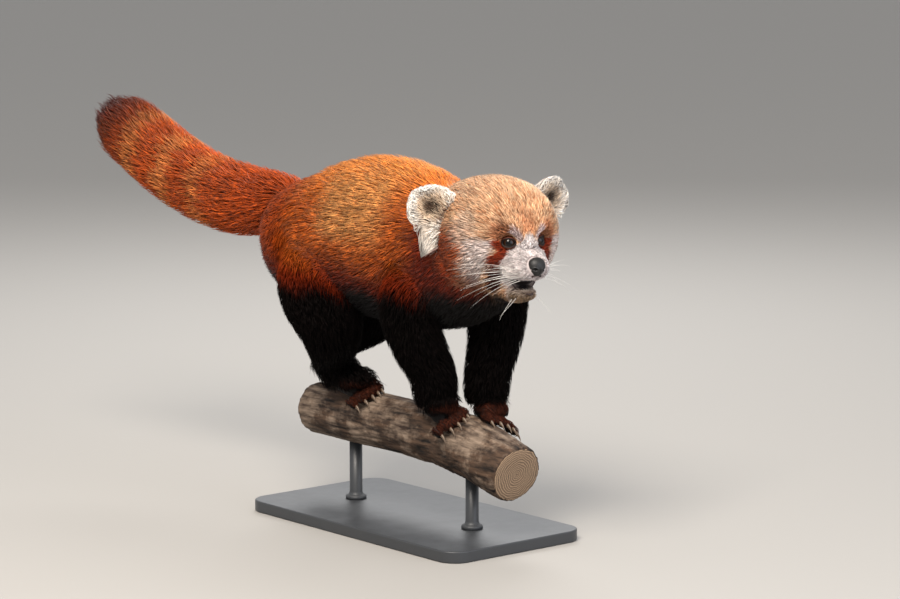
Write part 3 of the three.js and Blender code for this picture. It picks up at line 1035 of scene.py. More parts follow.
# The share of the tail at which its skin ends; past it there is fur alone
TAIL_SKIN_END = 0.82
MUZZLE_INSET = 2.2
JAW_INSET = 1.6
PAW_INSET = 1.8


@dataclass
class Spots:
    """Where points lie on the animal, for the markings and the lie of the coat."""

    points: np.ndarray
    normals: np.ndarray
    part: np.ndarray = field(init=False)
    weight: dict = field(init=False)
    share: np.ndarray = field(init=False)
    angle: np.ndarray = field(init=False)
    along: dict = field(init=False)
    head: np.ndarray = field(init=False)
    head_normals: np.ndarray = field(init=False)

    def __post_init__(self) -> None:
        """Finds each point's distance to each part, its nearest part, and its place on it."""
        count = len(self.points)
        self.head = to_head(self.points)
        self.head_normals = self.normals @ HEAD_PLACE[:3, :3]
        gaps = np.full((len(Part), count), 1e3)
        shares, angles = np.zeros((len(Part), count)), np.zeros((len(Part), count))
        self.along = {}
        for part, form in FORMS.items():
            own = self.head if part is Part.HEAD else self.points
            low, high = form.knots[:, :3].min(0) - 110, form.knots[:, :3].max(0) + 110
            near = np.flatnonzero(((own > low) & (own < high)).all(1))
            along = np.zeros((count, 3))
            if len(near):
                share, angle, gap, way = form.locate(own[near])
                gaps[part.value, near] = gap + INSET[part]
                shares[part.value, near], angles[part.value, near] = share, angle
                along[near] = way
            self.along[part] = along
        for part, ear in EARS.items():
            own = ear.to_own(self.head)
            rise = own[:, 1] / ear.tall
            off = np.abs(own[:, 2] - ear.set_back - ear.cup * np.clip(own[:, 0] / ear.wide, -1, 1) ** 2)
            inside = (rise > -1.0) & (off < 12) & (np.abs(own[:, 0]) < ear.wide + 6) & (rise < 1.25)
            gaps[part.value] = np.where(inside, off - 12, 1e3)
            shares[part.value] = np.clip((rise + 1.2) / 2.4, 0, 1)
            angles[part.value] = np.arctan2(np.sign(self.head_normals @ ear.face) * 0.4 + 0.01,
                                            own[:, 0] / ear.wide)
        muzzle = MUZZLE.locate(self.head)[2] + MUZZLE_INSET
        jaw = JAW.locate(self.head)[2] + JAW_INSET
        gaps[Part.HEAD.value] = np.minimum(gaps[Part.HEAD.value], np.minimum(muzzle, jaw))
        self.part = gaps.argmin(0)
        least = gaps.min(0)
        raw = np.exp(-(gaps - least) / 9.0)
        raw /= raw.sum(0)
        self.weight = {part: raw[part.value] for part in Part}
        pick = np.arange(count)
        self.share, self.angle = shares[self.part, pick], angles[self.part, pick]

    def pick(self, keep: np.ndarray) -> "Spots":
        """The same facts for some of the points only.

        Args:
            keep: Their numbers, or a mask.

        Returns:
            Where they lie.
        """
        made = object.__new__(Spots)
        for name in ("points", "normals", "part", "share", "angle", "head", "head_normals"):
            setattr(made, name, getattr(self, name)[keep])
        made.weight = {part: values[keep] for part, values in self.weight.items()}
        made.along = {part: values[keep] for part, values in self.along.items()}
        return made

    def legs(self) -> np.ndarray:
        """The share of leg at each point."""
        return sum(self.weight[leg] for leg in LEGS)

    def ears(self) -> np.ndarray:
        """The share of ear at each point."""
        return self.weight[Part.EAR_RIGHT] + self.weight[Part.EAR_LEFT]

    def paws(self) -> np.ndarray:
        """The share of paw at each point."""
        return soft(self.points[:, 2], 178, 166)


def two_tone(root: str, tip: str, count: int) -> tuple:
    """The same root and tip colour for a number of points."""
    return np.tile(linear(root), (count, 1)), np.tile(linear(tip), (count, 1))


def near_line(points: np.ndarray, line: list) -> np.ndarray:
    """The distance of points from a bent line.

    Args:
        points: Places.
        line: The line's points.

    Returns:
        One distance for each place.
    """
    best = np.full(len(points), 1e3)
    for start, stop in zip(np.array(line[:-1], float), np.array(line[1:], float)):
        way = stop - start
        share = np.clip((points - start) @ way / (way @ way), 0, 1)
        best = np.minimum(best, np.linalg.norm(points - start - share[:, None] * way, axis=1))
    return best


@dataclass
class Markings:
    """The markings by formula, the same for skin and coat: root and tip colours at each point."""

    # Every root colour is darker than its tip: partly the hair's own colour, partly painted shade deep in the
    # coat.
    black_line: float = 305.0
    chest_line: float = 322.0
    ring_length: float = 64.0

    def at(self, spots: Spots) -> tuple:
        """Root and tip colours.

        Args:
            spots: Where the points lie.

        Returns:
            Two arrays of linear colours.
        """
        root, tip = self.body(spots)
        for cover, colours in (
            (spots.weight[Part.TAIL], self.tail(spots)),
            (soft(spots.weight[Part.HEAD], 0.35, 0.65), self.head(spots)),
            (soft(spots.ears(), 0.4, 0.7), self.ear(spots)),
        ):
            root, tip = blend(root, colours[0], cover), blend(tip, colours[1], cover)
        mottle = 1.0 + 0.12 * ripple(spots.points, 16.0, 5) + 0.10 * ripple(spots.points, 6.0, 6)
        return root * mottle[:, None], tip * mottle[:, None]

    def layer(self, colours: tuple, cover: np.ndarray, root: str, tip: str) -> tuple:
        """Colours with another root and tip laid over them by a share each."""
        return blend(colours[0], linear(root), cover), blend(colours[1], linear(tip), cover)

    def body(self, spots: Spots) -> tuple:
        """Orange back, brighter at the top partly by painted light from above, buff flank, red rump and ruff,
        black underside and legs.

        Args:
            spots: Where the points lie.

        Returns:
            Root and tip colours.
        """
        x, _, z = spots.points.T
        colours = two_tone("9A3A0E", "DB7326", len(x))
        # The top of the trunk is lighter: partly the coat's own brighter back, partly painted light falling
        # from above.
        top = soft(z, 385, 432)
        colours = self.layer(colours, 0.9 * top, "B85A18", "F49C48")
        flank = soft(x, -88, -40) * soft(x, 66, 20) * soft(z, 345, 375) * soft(z, 440, 405)
        colours = self.layer(colours, 0.8 * flank, "B4682E", "F4B66E")
        rump = soft(x, -100, -175)
        colours = self.layer(colours, 0.9 * rump, "702008", "C25216")
        ruff = soft(x, 62, 118) * soft(z, 425, 385)
        colours = self.layer(colours, ruff, "440E02", "86290C")
        wave = 9.0 * ripple(spots.points, 55.0, 3)
        line = self.black_line + (self.chest_line - self.black_line) * soft(x, 90, 140) + wave
        colours = self.layer(colours, soft(z, line + 62, line + 8), "4A1206", "842A0C")
        dark = np.maximum(soft(z, line + 12, line - 10), spots.paws())
        colours = self.layer(colours, dark, "050303", "0E0908")
        toes = spots.paws() * soft(spots.normals[:, 2], -0.2, 0.6)
        return self.layer(colours, 0.8 * toes, "200D08", "5A2E20")

    def tail(self, spots: Spots) -> tuple:
        """Red-orange with soft buff rings and a dark end.

        Args:
            spots: Where the points lie.

        Returns:
            Root and tip colours.
        """
        share = spots.share
        colours = two_tone("6A1E08", "C4571E", len(share))
        run = -spots.points[:, 0] * 1.08 + 5.0 * ripple(spots.points, 30.0, 9)
        ring = soft(np.cos(run * 2 * math.pi / self.ring_length), 0.0, 0.9) * soft(share, 0.25, 0.45)
        colours = self.layer(colours, 0.7 * ring, "924420", "E0924E")
        colours = self.layer(colours, soft(share, 0.36, 0.14), "702008", "C25216")
        return self.layer(colours, soft(share, 0.56, 0.78), "2A0903", "4E1608")

    def head(self, spots: Spots) -> tuple:
        """Buff crown, white muzzle, brows and cheeks, tear stripes and a dark throat.

        Args:
            spots: Where the points lie.

        Returns:
            Root and tip colours.
        """
        x, y, z = spots.head.T
        side = np.abs(y)
        folded = np.stack([x, side, z], 1)
        colours = two_tone("A8683C", "F4CDA6", len(x))
        around = np.linalg.norm((folded - [62, 27, 10]) / [17, 12, 14], axis=1)
        colours = self.layer(colours, 0.9 * soft(around, 1.25, 0.6), "74381C", "BA7A54")
        between = soft(side, 12, 6) * soft(z, 8, 14) * soft(z, 38, 22) * soft(x, 40, 55)
        colours = self.layer(colours, 0.7 * between, "8A4420", "D69A70")
        brow = near_line(folded, [(68, 12, 8), (65, 17.5, 15)])
        colours = self.layer(colours, 0.9 * soft(brow, 5.8, 3.2), "8A767A", "E2CFCB")
        temple = soft(x - 0.35 * z, 46, 22) * soft(side, 38, 52) * soft(z, 24, 4)
        colours = self.layer(colours, temple, "642208", "B2501E")
        cream = soft(side, 38, 50) * soft(z, -4, 6) * soft(z, 36, 24) * soft(x, 14, 28)
        colours = self.layer(colours, 0.65 * cream, "A8866E", "F4E0CE")
        cheek = soft(side, 31, 37) * soft(x - 0.35 * z, 29, 41) * soft(z, 8, 2)
        colours = self.layer(colours, cheek, "B49A8E", "F6EAE6")
        low = soft(z, -34, -48) * soft(side, 24, 34) * soft(x, 0, 14)
        colours = self.layer(colours, 0.6 * low, "8A5A38", "D6B090")
        taper = 0.8 * (z + 1).clip(0, 30)
        wedge = soft(side, 13.5 - taper, 10 - taper)
        flank = 27 - 10 * soft(z, -17, -4)
        muzzle = soft(x, 49, 55) * np.where(z > -1, wedge, soft(side, flank + 2, flank - 2)) * soft(z, 13, 8)
        colours = self.layer(colours, muzzle, "B0A09C", "F8F1F0")
        rim = np.linalg.norm(folded - [62, 23, 3], axis=1)
        colours = self.layer(colours, 0.9 * soft(rim, 11.5, 9.0), "1E0A06", "42200F")
        line = [(57, 30.5, 0), (60, 23, -6), (54, 30, -14), (50.5, 27, -30), (37, 21, -50)]
        gap = near_line(folded, line) + 1.0 * ripple(spots.points, 9.0, 14)
        wide = 5.4 + 2.2 * soft(z, -8, -26)
        stripe = soft(gap, wide + 1.4, wide - 0.8)
        upper = blend(np.tile(linear("A83A14"), (len(x), 1)), linear("4E1408"), soft(z, -8, -30))
        colours = (blend(colours[0], upper * 0.35, stripe), blend(colours[1], upper, stripe))
        chin = soft(x, 50, 58) * soft(z, -47, -51)
        colours = self.layer(colours, chin, "4A3422", "B4987A")
        colours = self.layer(colours, chin * soft(z, -58, -54), "8A7262", "EBDFD4")
        throat = soft(z, -52, -64) * soft(x, 54, 44)
        colours = self.layer(colours, throat, "0C0604", "1C0E0A")
        # The gap of the open mouth is painted near black: painted shade inside the mouth.
        inside = soft(x, 54, 58) * (z < MUZZLE_FLOOR) * (z > JAW_ROOF) * soft(side, 22, 17)
        return self.layer(colours, inside, "100505", "150706")

    def ear(self, spots: Spots) -> tuple:
        """White rims, a dark middle in the cup and a red-brown back.

        Args:
            spots: Where the points lie.

        Returns:
            Root and tip colours.
        """
        colours = two_tone("E0CFBC", "FDF8F2", len(spots.points))
        for part, ear in EARS.items():
            own = ear.to_own(spots.head)
            cover = soft(spots.weight[part], 0.3, 0.6)
            front = soft(spots.head_normals @ ear.face, -0.15, 0.15)
            low = own[:, 0] * ear.way / ear.wide
            reach = np.hypot((own[:, 0] / ear.wide) + 0.08 * ear.way, (own[:, 1] + 2) / ear.tall)
            colours = self.layer(colours, cover * front * soft(reach, 0.74, 0.40) * soft(low, 1.0, 0.5),
                                 "8A7058", "E2CAB0")
            colours = self.layer(colours, cover * front * soft(reach, 0.42, 0.10), "140C08", "4C3626")
            colours = self.layer(colours, cover * (1 - front) * soft(reach, 0.75, 0.5), "3A140C", "7A3418")
        return colours


@dataclass
class Skin:
    """One skin under the coat, from nose to tail and down to the toes."""

    voxel: float = VOXEL
    rounds: int = 6
    points: np.ndarray = field(init=False)
    normals: np.ndarray = field(init=False)
    faces: np.ndarray = field(init=False)
    piece: bpy.types.Object = field(init=False)

    def lofts(self) -> list:
        """The closed forms that the skin joins, in millimetres.

        Returns:
            Points and triangles of each.
        """
        made = []
        for part, form in FORMS.items():
            points, faces = form.loft(56, 44, -INSET[part], TAIL_SKIN_END if part is Part.TAIL else 1.0)
            made.append((from_head(points) if part is Part.HEAD else points, faces))
        for form, inset in ((MUZZLE, MUZZLE_INSET), (JAW, JAW_INSET)):
            points, faces = form.loft(30, 32, -inset)
            made.append((from_head(points), faces))
        for ear in EARS.values():
            points, faces = ear.shell()
            made.append((from_head(points), faces))
        for paw in PAWS:
            made.extend(form.loft(16, 16, -PAW_INSET) for form in paw.forms())
        return made

    def relax(self, points: np.ndarray, edges: np.ndarray, rounds: int) -> np.ndarray:
        """Smooths points along their edges without shrinking the form.

        Args:
            points: Places.
            edges: Pairs of point numbers.
            rounds: How many times.

        Returns:
            The new places.
        """
        count = len(points)
        degree = np.bincount(edges.ravel(), minlength=count)[:, None]
        for _ in range(rounds):
            for amount in (0.55, -0.57):
                total = np.stack([
                    np.bincount(edges[:, 0], points[edges[:, 1], k], count)
                    + np.bincount(edges[:, 1], points[edges[:, 0], k], count) for k in range(3)
                ], 1)
                points = points + amount * (total / degree - points)
        return points

    def sculpt(self, points: np.ndarray, normals: np.ndarray) -> np.ndarray:
        """Eye sockets, brows, and the dip down the middle of the forehead, in millimetres.

        Args:
            points: Places.
            normals: Outward directions.

        Returns:
            The new places.
        """
        head = to_head(points)
        folded = np.stack([head[:, 0], np.abs(head[:, 1]), head[:, 2]], 1)
        brow = 1.5 * np.exp(-(np.linalg.norm(folded - [62, 21, 20], axis=1) / 8.0) ** 2)
        bridge = -1.5 * np.exp(-((head[:, 1] / 7) ** 2 + ((head[:, 0] - 50) / 14) ** 2
                                 + ((head[:, 2] - 30) / 14) ** 2))
        points = points + normals * (brow + bridge)[:, None]
        radius, ahead = SOCKET
        for way in (-1, 1):
            matrix = eye_frame(way)
            own = (points - matrix[:3, 3]) @ matrix[:3, :3]
            beside = np.hypot(own[:, 1], own[:, 2])
            floor_ = ahead - np.sqrt(np.maximum(radius ** 2 - beside ** 2, 0))
            sunk = (beside < radius) & (own[:, 0] > floor_) & (own[:, 0] < 3 * radius)
            own[sunk, 0] = floor_[sunk]
            points = own @ matrix[:3, :3].T + matrix[:3, 3]
        return points

    def build(self) -> None:
        """Joins the forms by a fine voxel mesh, smooths it, and adds the folds of the face."""
        raw = solid("skin_forms", self.lofts())
        raw.modifiers.new("Join", "REMESH").mode = "VOXEL"
        raw.modifiers["Join"].voxel_size = self.voxel
        graph = bpy.context.evaluated_depsgraph_get()
        mesh = bpy.data.meshes.new_from_object(raw.evaluated_get(graph))
        bpy.data.objects.remove(raw)
        mesh.calc_loop_triangles()
        co = np.empty(len(mesh.vertices) * 3, np.float32)
        mesh.vertices.foreach_get("co", co)
        edges = np.empty(len(mesh.edges) * 2, np.int32)
        mesh.edges.foreach_get("vertices", edges)
        tris = np.empty(len(mesh.loop_triangles) * 3, np.int32)
        mesh.loop_triangles.foreach_get("vertices", tris)
        tris = tris.reshape(-1, 3)
        edges = edges.reshape(-1, 2)
        co = self.relax(co.reshape(-1, 3).astype(float) / MM, edges, self.rounds)
        bpy.data.meshes.remove(mesh)
        self.points = self.relax(self.sculpt(co, point_normals(co, tris)), edges, 2)
        self.faces = tris
        self.normals = point_normals(self.points, tris)
        self.piece = build_mesh("skin", self.points * MM, self.faces)
        log.info("skin has %d triangles", len(tris))


def point_normals(points: np.ndarray, faces: np.ndarray) -> np.ndarray:
    """Outward directions at the points of a mesh of triangles.

    Args:
        points: Places.
        faces: Triangles.

    Returns:
        One direction for each point.
    """
    a, b, c = (points[faces[:, k]] for k in range(3))
    flat = np.cross(b - a, c - a)
    total = np.stack([
        sum(np.bincount(faces[:, corner], flat[:, k], len(points)) for corner in range(3)) for k in range(3)
    ], 1)
    return unit(total)


@dataclass(frozen=True)
class Tufts:
    """How one part's fur grows: tufts on a square centimetre, and their sizes in millimetres."""

    density: float
    length: float
    height: float
    width: float


TRUNK_FUR = Tufts(29, 31, 13, 1.4)
TAIL_FUR = Tufts(26, 36, 19, 1.5)
LEG_FUR = Tufts(26, 19, 9.5, 1.35)
EAR_FUR = Tufts(60, 14, 5.0, 0.95)
PAW_FUR = Tufts(44, 7.0, 2.2, 0.95)
# The shortest fur of the face, from which it grows longer backwards
FACE_FUR = Tufts(74, 2.6, 0.8, 0.62)


@dataclass
class Coat:
    """Tufts of fur over the skin: thin, tapered, solid blades that follow the lie of the coat.

    A spread is a share of the mean, turn is in degrees, and clump is the width of a long lock in millimetres.
    """

    skin: Skin
    markings: Markings
    long_rings: int = 3
    short_rings: int = 2
    clump: float = 9.0
    pull: float = 0.4
    length_spread: float = 0.22
    height_spread: float = 0.2
    width_spread: float = 0.25
    turn: float = 9.0
    tuft_tone: float = 0.16
    lock_tone: float = 0.13
    pepper: float = 0.9
    tip_share: float = 0.65

    def __post_init__(self) -> None:
        """Starts the one row of random draws and the tree that finds the skin."""
        self.draw = np.random.default_rng(SEED)
        self.tree = BVHTree.FromPolygons(self.skin.points.tolist(), self.skin.faces.tolist())

    def density(self, spots: Spots) -> np.ndarray:
        """Tufts on a square centimetre.

        Args:
            spots: Where the points lie.

        Returns:
            One value for each.
        """
        head = spots.head
        reach = np.linalg.norm(head - np.array(NOSE_AT), axis=1)
        face = FACE_FUR.density + 60 * soft(reach, 70, 25)
        value = (TRUNK_FUR.density * spots.weight[Part.TRUNK] + TAIL_FUR.density * spots.weight[Part.TAIL]
                 + LEG_FUR.density * spots.legs() + face * spots.weight[Part.HEAD]
                 + EAR_FUR.density * spots.ears())
        value = value + (PAW_FUR.density - value) * spots.paws()
        return value * self.open_skin(spots)

    def open_skin(self, spots: Spots) -> np.ndarray:
        """1 where hair grows, 0 on the eyes, nose, mouth and soles.

        Args:
            spots: Where the points lie.

        Returns:
            One value for each.
        """
        head = spots.head
        folded = np.stack([head[:, 0], np.abs(head[:, 1]), head[:, 2]], 1)
        eye = np.linalg.norm(folded - np.array(EYE_AT), axis=1) > EYE_RADIUS + 1.4
        nose = (np.linalg.norm((head - np.array(NOSE_AT)) / (np.array(NOSE_SIZE) + 1.2), axis=1) > 1.0)
        mouth = ~((head[:, 0] > 56) & (head[:, 2] < MUZZLE_FLOOR + 1) & (head[:, 2] > JAW_ROOF - 1)
                  & (np.abs(spots.head_normals[:, 2]) > 0.5))
        under = (spots.points[:, 2] < 175) & (spots.normals[:, 2] < -0.35)
        return (eye & nose & mouth & ~under).astype(float)

    def sizes(self, spots: Spots) -> tuple:
        """Length, height over the skin, and width of the tufts, in millimetres.

        Args:
            spots: Where the points lie.

        Returns:
            Three arrays.
        """
        head = spots.head
        side = np.abs(head[:, 1])
        reach = np.linalg.norm(head - np.array(NOSE_AT), axis=1)
        face = FACE_FUR.length + 13.0 * soft(reach, 30, 98) + 4.0 * soft(head[:, 2], 20, 44)
        folded = np.stack([head[:, 0], side, head[:, 2]], 1)
        eye = np.linalg.norm(folded - np.array(EYE_AT), axis=1)
        face = face * (0.35 + 0.65 * soft(eye, 11, 24))
        chin = soft(head[:, 0], 50, 60) * soft(head[:, 2], -50, -58)
        face = face + 3.0 * chin
        cheek = 15.0 * soft(side, 34, 60) * soft(head[:, 2], 34, 0)
        ears, paws, legs = spots.ears(), spots.paws(), spots.legs()
        trunk, tail, skull = (spots.weight[part] for part in (Part.TRUNK, Part.TAIL, Part.HEAD))
        fringe = 6.0 * ears * self.fringe(head)
        end = 1 - 0.2 * soft(spots.share, 0.7, 0.9) * tail
        length = (TRUNK_FUR.length * trunk + TAIL_FUR.length * end * tail + LEG_FUR.length * legs
                  + (face + cheek) * skull + EAR_FUR.length * ears + fringe)
        back = 4.0 * soft(spots.points[:, 2], 395, 428) * soft(spots.points[:, 0], -170, -90)
        high = ((TRUNK_FUR.height + back) * trunk + TAIL_FUR.height * end * tail + LEG_FUR.height * legs
                + (FACE_FUR.height + 0.48 * face + 0.08 * cheek) * skull + EAR_FUR.height * ears)
        wide = (TRUNK_FUR.width * trunk + TAIL_FUR.width * tail + LEG_FUR.width * legs
                + (FACE_FUR.width + 0.032 * face + 0.01 * cheek) * skull + EAR_FUR.width * ears)
        length = length + (PAW_FUR.length - length) * paws
        high = high + (PAW_FUR.height - high) * paws
        wide = wide + (PAW_FUR.width - wide) * paws
        return length, high, wide

    @staticmethod
    def fringe(head: np.ndarray) -> np.ndarray:
        """The share of long, hanging hair at the lower outer edge of the ears.

        Args:
            head: Places in the head's frame.

        Returns:
            One share for each.
        """
        cover = np.zeros(len(head))
        for ear in EARS.values():
            own = ear.to_own(head)
            low = own[:, 0] * ear.way / ear.wide
            own_side = np.sign(head[:, 1]) == ear.way
            hangs = own_side * soft(low, 0.35, 0.7) * soft(own[:, 1] / ear.tall, 0.25, -0.2)
            cover = np.maximum(cover, hangs)
        return cover

    def lie(self, spots: Spots) -> np.ndarray:
        """The way the coat lies at each point, along the skin.

        Args:
            spots: Where the points lie.

        Returns:
            One direction for each.
        """
        x = spots.points[:, 0]
        count = len(x)
        trunk = np.tile([-1.0, 0.0, -0.22], (count, 1))
        trunk[:, 2] -= 0.55 * soft(x, 60, 140)
        way = trunk * spots.weight[Part.TRUNK][:, None]
        way += spots.along[Part.TAIL] * spots.weight[Part.TAIL][:, None]
        for leg in LEGS:
            way -= spots.along[leg] * spots.weight[leg][:, None]
        head = spots.head
        side = np.sign(head[:, 1])
        away = unit(head - np.array(NOSE_AT)) + np.array([-0.35, 0.0, 0.0])
        cheek = soft(np.abs(head[:, 1]), 28, 60)
        away[:, 2] -= 0.6 * cheek * soft(head[:, 2], 30, -20)
        eye = head - np.stack([np.full(count, EYE_AT[0]), EYE_AT[1] * side, np.full(count, EYE_AT[2])], 1)
        away += unit(eye) * (1.4 * np.exp(-(np.linalg.norm(eye, axis=1) / 15.0) ** 2))[:, None]
        way += (unit(away) @ HEAD_PLACE[:3, :3].T) * spots.weight[Part.HEAD][:, None]
        for part, ear in EARS.items():
            own = ear.to_own(head)
            fan = np.stack([own[:, 0] * 0.9, own[:, 1] + 1.2 * ear.tall, np.zeros(count)], 1)
            back = unit(fan) @ np.stack([ear.across, ear.tip, ear.face])
            back = blend(back, np.array([-0.1, 0.0, -1.0]), self.fringe(head))
            way += (back @ HEAD_PLACE[:3, :3].T) * spots.weight[part][:, None]
        way = blend(way, np.array([1.0, 0.0, -0.35]), spots.paws())
        way -= spots.normals * (way * spots.normals).sum(1)[:, None]
        return unit(way)

    def roots(self) -> Spots:
        """Scatters the roots over the skin, as closely as each part needs.

        Returns:
            Where the roots lie.
        """
        points, faces = self.skin.points, self.skin.faces
        a, b, c = (points[faces[:, k]] for k in range(3))
        area = np.linalg.norm(np.cross(b - a, c - a), axis=1) / 200.0
        middles = Spots((a + b + c) / 3, unit(np.cross(b - a, c - a)))
        wanted = area * self.density(middles)
        count = int(wanted.sum())
        chosen = np.searchsorted(np.cumsum(wanted), (np.arange(count) + self.draw.random(count))
                                 * wanted.sum() / count)
        chosen = np.minimum(chosen, len(faces) - 1)
        u, v = self.draw.random(count), self.draw.random(count)
        over = u + v > 1
        u, v = np.where(over, 1 - u, u), np.where(over, 1 - v, v)
        w = 1 - u - v
        rows = faces[chosen]
        place_ = sum(points[rows[:, k]] * s[:, None] for k, s in enumerate((w, u, v)))
        normal = unit(sum(self.skin.normals[rows[:, k]] * s[:, None] for k, s in enumerate((w, u, v))))
        spots = Spots(place_, normal)
        return spots.pick(self.open_skin(spots) > 0)

    def nearest(self, points: np.ndarray) -> tuple:
        """The nearest places of the skin and smooth outward directions there.

        Args:
            points: Places near the skin.

        Returns:
            Places and directions.
        """
        places, numbers = np.empty_like(points), np.empty(len(points), int)
        find = self.tree.find_nearest
        for i, point in enumerate(points):
            spot, _, number, _ = find(point)
            places[i] = spot
            numbers[i] = number
        normals = unit(self.skin.normals[self.skin.faces[numbers]].sum(1))
        return places, normals

    def paths(self, spots: Spots) -> tuple:
        """Root, middle and tip of every tuft, and the skin's direction at each.

        Args:
            spots: The roots.

        Returns:
            Three arrays of places, three of directions, the widths, and the number of each tuft's lock.
        """
        count = len(spots.points)
        length, high, wide = self.sizes(spots)
        length = length * (1 + self.length_spread * self.draw.normal(size=count).clip(-2, 2))
        high = high * (1 + self.height_spread * self.draw.normal(size=count).clip(-2, 1.2))
        wide = wide * (1 + self.width_spread * self.draw.normal(size=count).clip(-2, 2))
        way = self.lie(spots)
        across = np.cross(spots.normals, way)
        stray = np.radians(self.turn)
        turn = (stray * self.draw.normal(size=count).clip(-2.2, 2.2)
                + stray * ripple(spots.points, 26.0, 21))
        way = way * np.cos(turn)[:, None] + across * np.sin(turn)[:, None]
        middle, middle_normal = self.nearest(spots.points + way * (length * 0.5)[:, None])
        onward = way - middle_normal * (way * middle_normal).sum(1)[:, None]
        tip, tip_normal = self.nearest(middle + unit(onward) * (length * 0.5)[:, None])
        middle = middle + middle_normal * (high * 0.72)[:, None]
        tip = tip + tip_normal * high[:, None]
        tip, lock = self.gather(spots, tip, length)
        # The long hair under the ears hangs free and runs together to one point
        loose = soft(spots.ears() * self.fringe(spots.head), 0.2, 0.5)[:, None]
        ends = np.stack([np.full(count, EAR_TUFT[0]), EAR_TUFT[1] * np.sign(spots.head[:, 1]),
                         np.full(count, EAR_TUFT[2])], 1)
        free = spots.points + spots.normals * 2.0
        hang = (from_head(ends) - free) * (length / 20.0)[:, None].clip(0.5, 1.0)
        middle = middle + (free + hang * 0.5 + spots.normals - middle) * loose
        tip = tip + (free + hang - tip) * loose
        # The fur at the end of the tail stands back from the skin as a brush
        brush = (spots.weight[Part.TAIL] * soft(spots.share, 0.74, 0.84))[:, None]
        trail = spots.along[Part.TAIL] * (length * 0.9)[:, None] + spots.normals * (high * 0.35)[:, None]
        arch = spots.normals * (high * 0.3)[:, None]
        middle = middle + (spots.points + trail * 0.5 + arch - middle) * brush
        tip = tip + (spots.points + trail - tip) * brush
        return ((spots.points - spots.normals * 0.5, middle, tip),
                (spots.normals, middle_normal, tip_normal), wide, lock)

    def gather(self, spots: Spots, tips: np.ndarray, length: np.ndarray) -> tuple:
        """Draws the tips of neighbouring tufts together, as a coat parts into locks.

        Args:
            spots: The roots.
            tips: The tips.
            length: The tufts' lengths.

        Returns:
            The new tips, and the number of each tuft's lock.
        """
        warp = np.stack([ripple(spots.points, 30.0, 31 + k) for k in range(3)], 1) * 5
        size = np.where(length > 20, self.clump, np.where(length > 10, self.clump * 0.7, self.clump * 0.45))
        cells = np.floor((spots.points + warp) / size[:, None]).astype(np.int64)
        key = cells @ np.array(CELL_PRIMES) + size.astype(int)
        _, group = np.unique(key, return_inverse=True)
        group = group.ravel()
        number = np.bincount(group)
        mean = np.stack([np.bincount(group, tips[:, k]) / number for k in range(3)], 1)[group]
        pull = self.pull * self.draw.random(len(tips))
        return tips + (mean - tips) * pull[:, None], group

    def blades(self, path: tuple, facing: tuple, wide: np.ndarray, rings: int) -> np.ndarray:
        """The points of three-sided, tapered blades along bent paths.

        Args:
            path: Roots, middles and tips.
            facing: The skin's direction at each of them.
            wide: The widths.
            rings: Rings of points under the tip.

        Returns:
            An array of tufts by points by 3.
        """
        root, middle, tip = path
        pull = 2 * middle - (root + tip) / 2
        stops = np.linspace(0, 1, rings + 1)[:-1] ** 0.9
        broad = np.interp(stops, [0, 0.35, 0.7, 1.0], [0.75, 1.0, 0.72, 0.0])
        made = []
        for stop, share in zip(stops, broad):
            centre = (1 - stop) ** 2 * root + 2 * stop * (1 - stop) * pull + stop ** 2 * tip
            way = unit(2 * (1 - stop) * (pull - root) + 2 * stop * (tip - pull))
            up = facing[0] + (facing[2] - facing[0]) * stop
            side = unit(np.cross(up, way))
            lift = np.cross(way, side)
            half = side * (wide * share / 2)[:, None]
            made += [centre - half, centre + half, centre + lift * (wide * share * 0.45)[:, None]]
        made.append(tip)
        return np.stack(made, 1)

    def grow(self) -> list:
        """Grows the whole coat.

        Returns:
            Each piece with its slot.
        """
        spots = self.roots()
        path, facing, wide, lock = self.paths(spots)
        colours = self.markings.at(spots)
        shade = 1 + self.tuft_tone * self.draw.normal(size=len(wide)).clip(-2, 2)
        shade *= 1 + self.lock_tone * self.draw.normal(size=lock.max() + 1).clip(-2, 2)[lock]
        colours = tuple(colour * shade[:, None] for colour in colours)
        pepper = self.pepper * self.draw.random(len(wide)) ** 2.0 * (0.35 + 0.65 * spots.weight[Part.HEAD])
        colours = (colours[0], blend(colours[1], colours[0], pepper))
        log.info("coat has %d tufts", len(wide))
        made = []
        short = spots.weight[Part.TAIL] < 0.4
        for name, slot, chosen in self.groups(spots):
            for rings, kind in ((self.long_rings, ~short), (self.short_rings, short)):
                rows = np.flatnonzero(chosen & kind)
                faces_each = 6 * rings - 2
                limit = PIECE_LIMIT // faces_each
                for part, start in enumerate(range(0, len(rows), limit)):
                    use = rows[start:start + limit]
                    label = f"coat_{name}_{'long' if rings == self.long_rings else 'short'}_{part + 1}"
                    points = self.blades(tuple(p[use] for p in path), tuple(n[use] for n in facing),
                                         wide[use], rings)
                    piece = self.tuft_piece(label, points, rings, spots.pick(use),
                                            (colours[0][use], colours[1][use]))
                    made.append((piece, slot))
        return made

    @staticmethod
    def groups(spots: Spots) -> list:
        """The parts of the coat that are pieces of their own.

        Args:
            spots: Where the points lie.

        Returns:
            Name, slot and mask of each.
        """
        part = spots.part
        paw = spots.paws() > 0.5
        ear = (part == Part.EAR_LEFT.value) | (part == Part.EAR_RIGHT.value)
        leg = (part >= Part.FORELEG_RIGHT.value) & (part <= Part.HINDLEG_LEFT.value)
        return [
            ("torso", "coat_red", (part == Part.TRUNK.value) & ~paw),
            ("tail", "coat_tail", (part == Part.TAIL.value) & ~paw),
            ("head", "coat_face", (part == Part.HEAD.value) & ~paw),
            ("ears", "coat_white", ear & ~paw),
            ("legs", "coat_black", leg & ~paw),
            ("paws", "coat_black", paw),
        ]

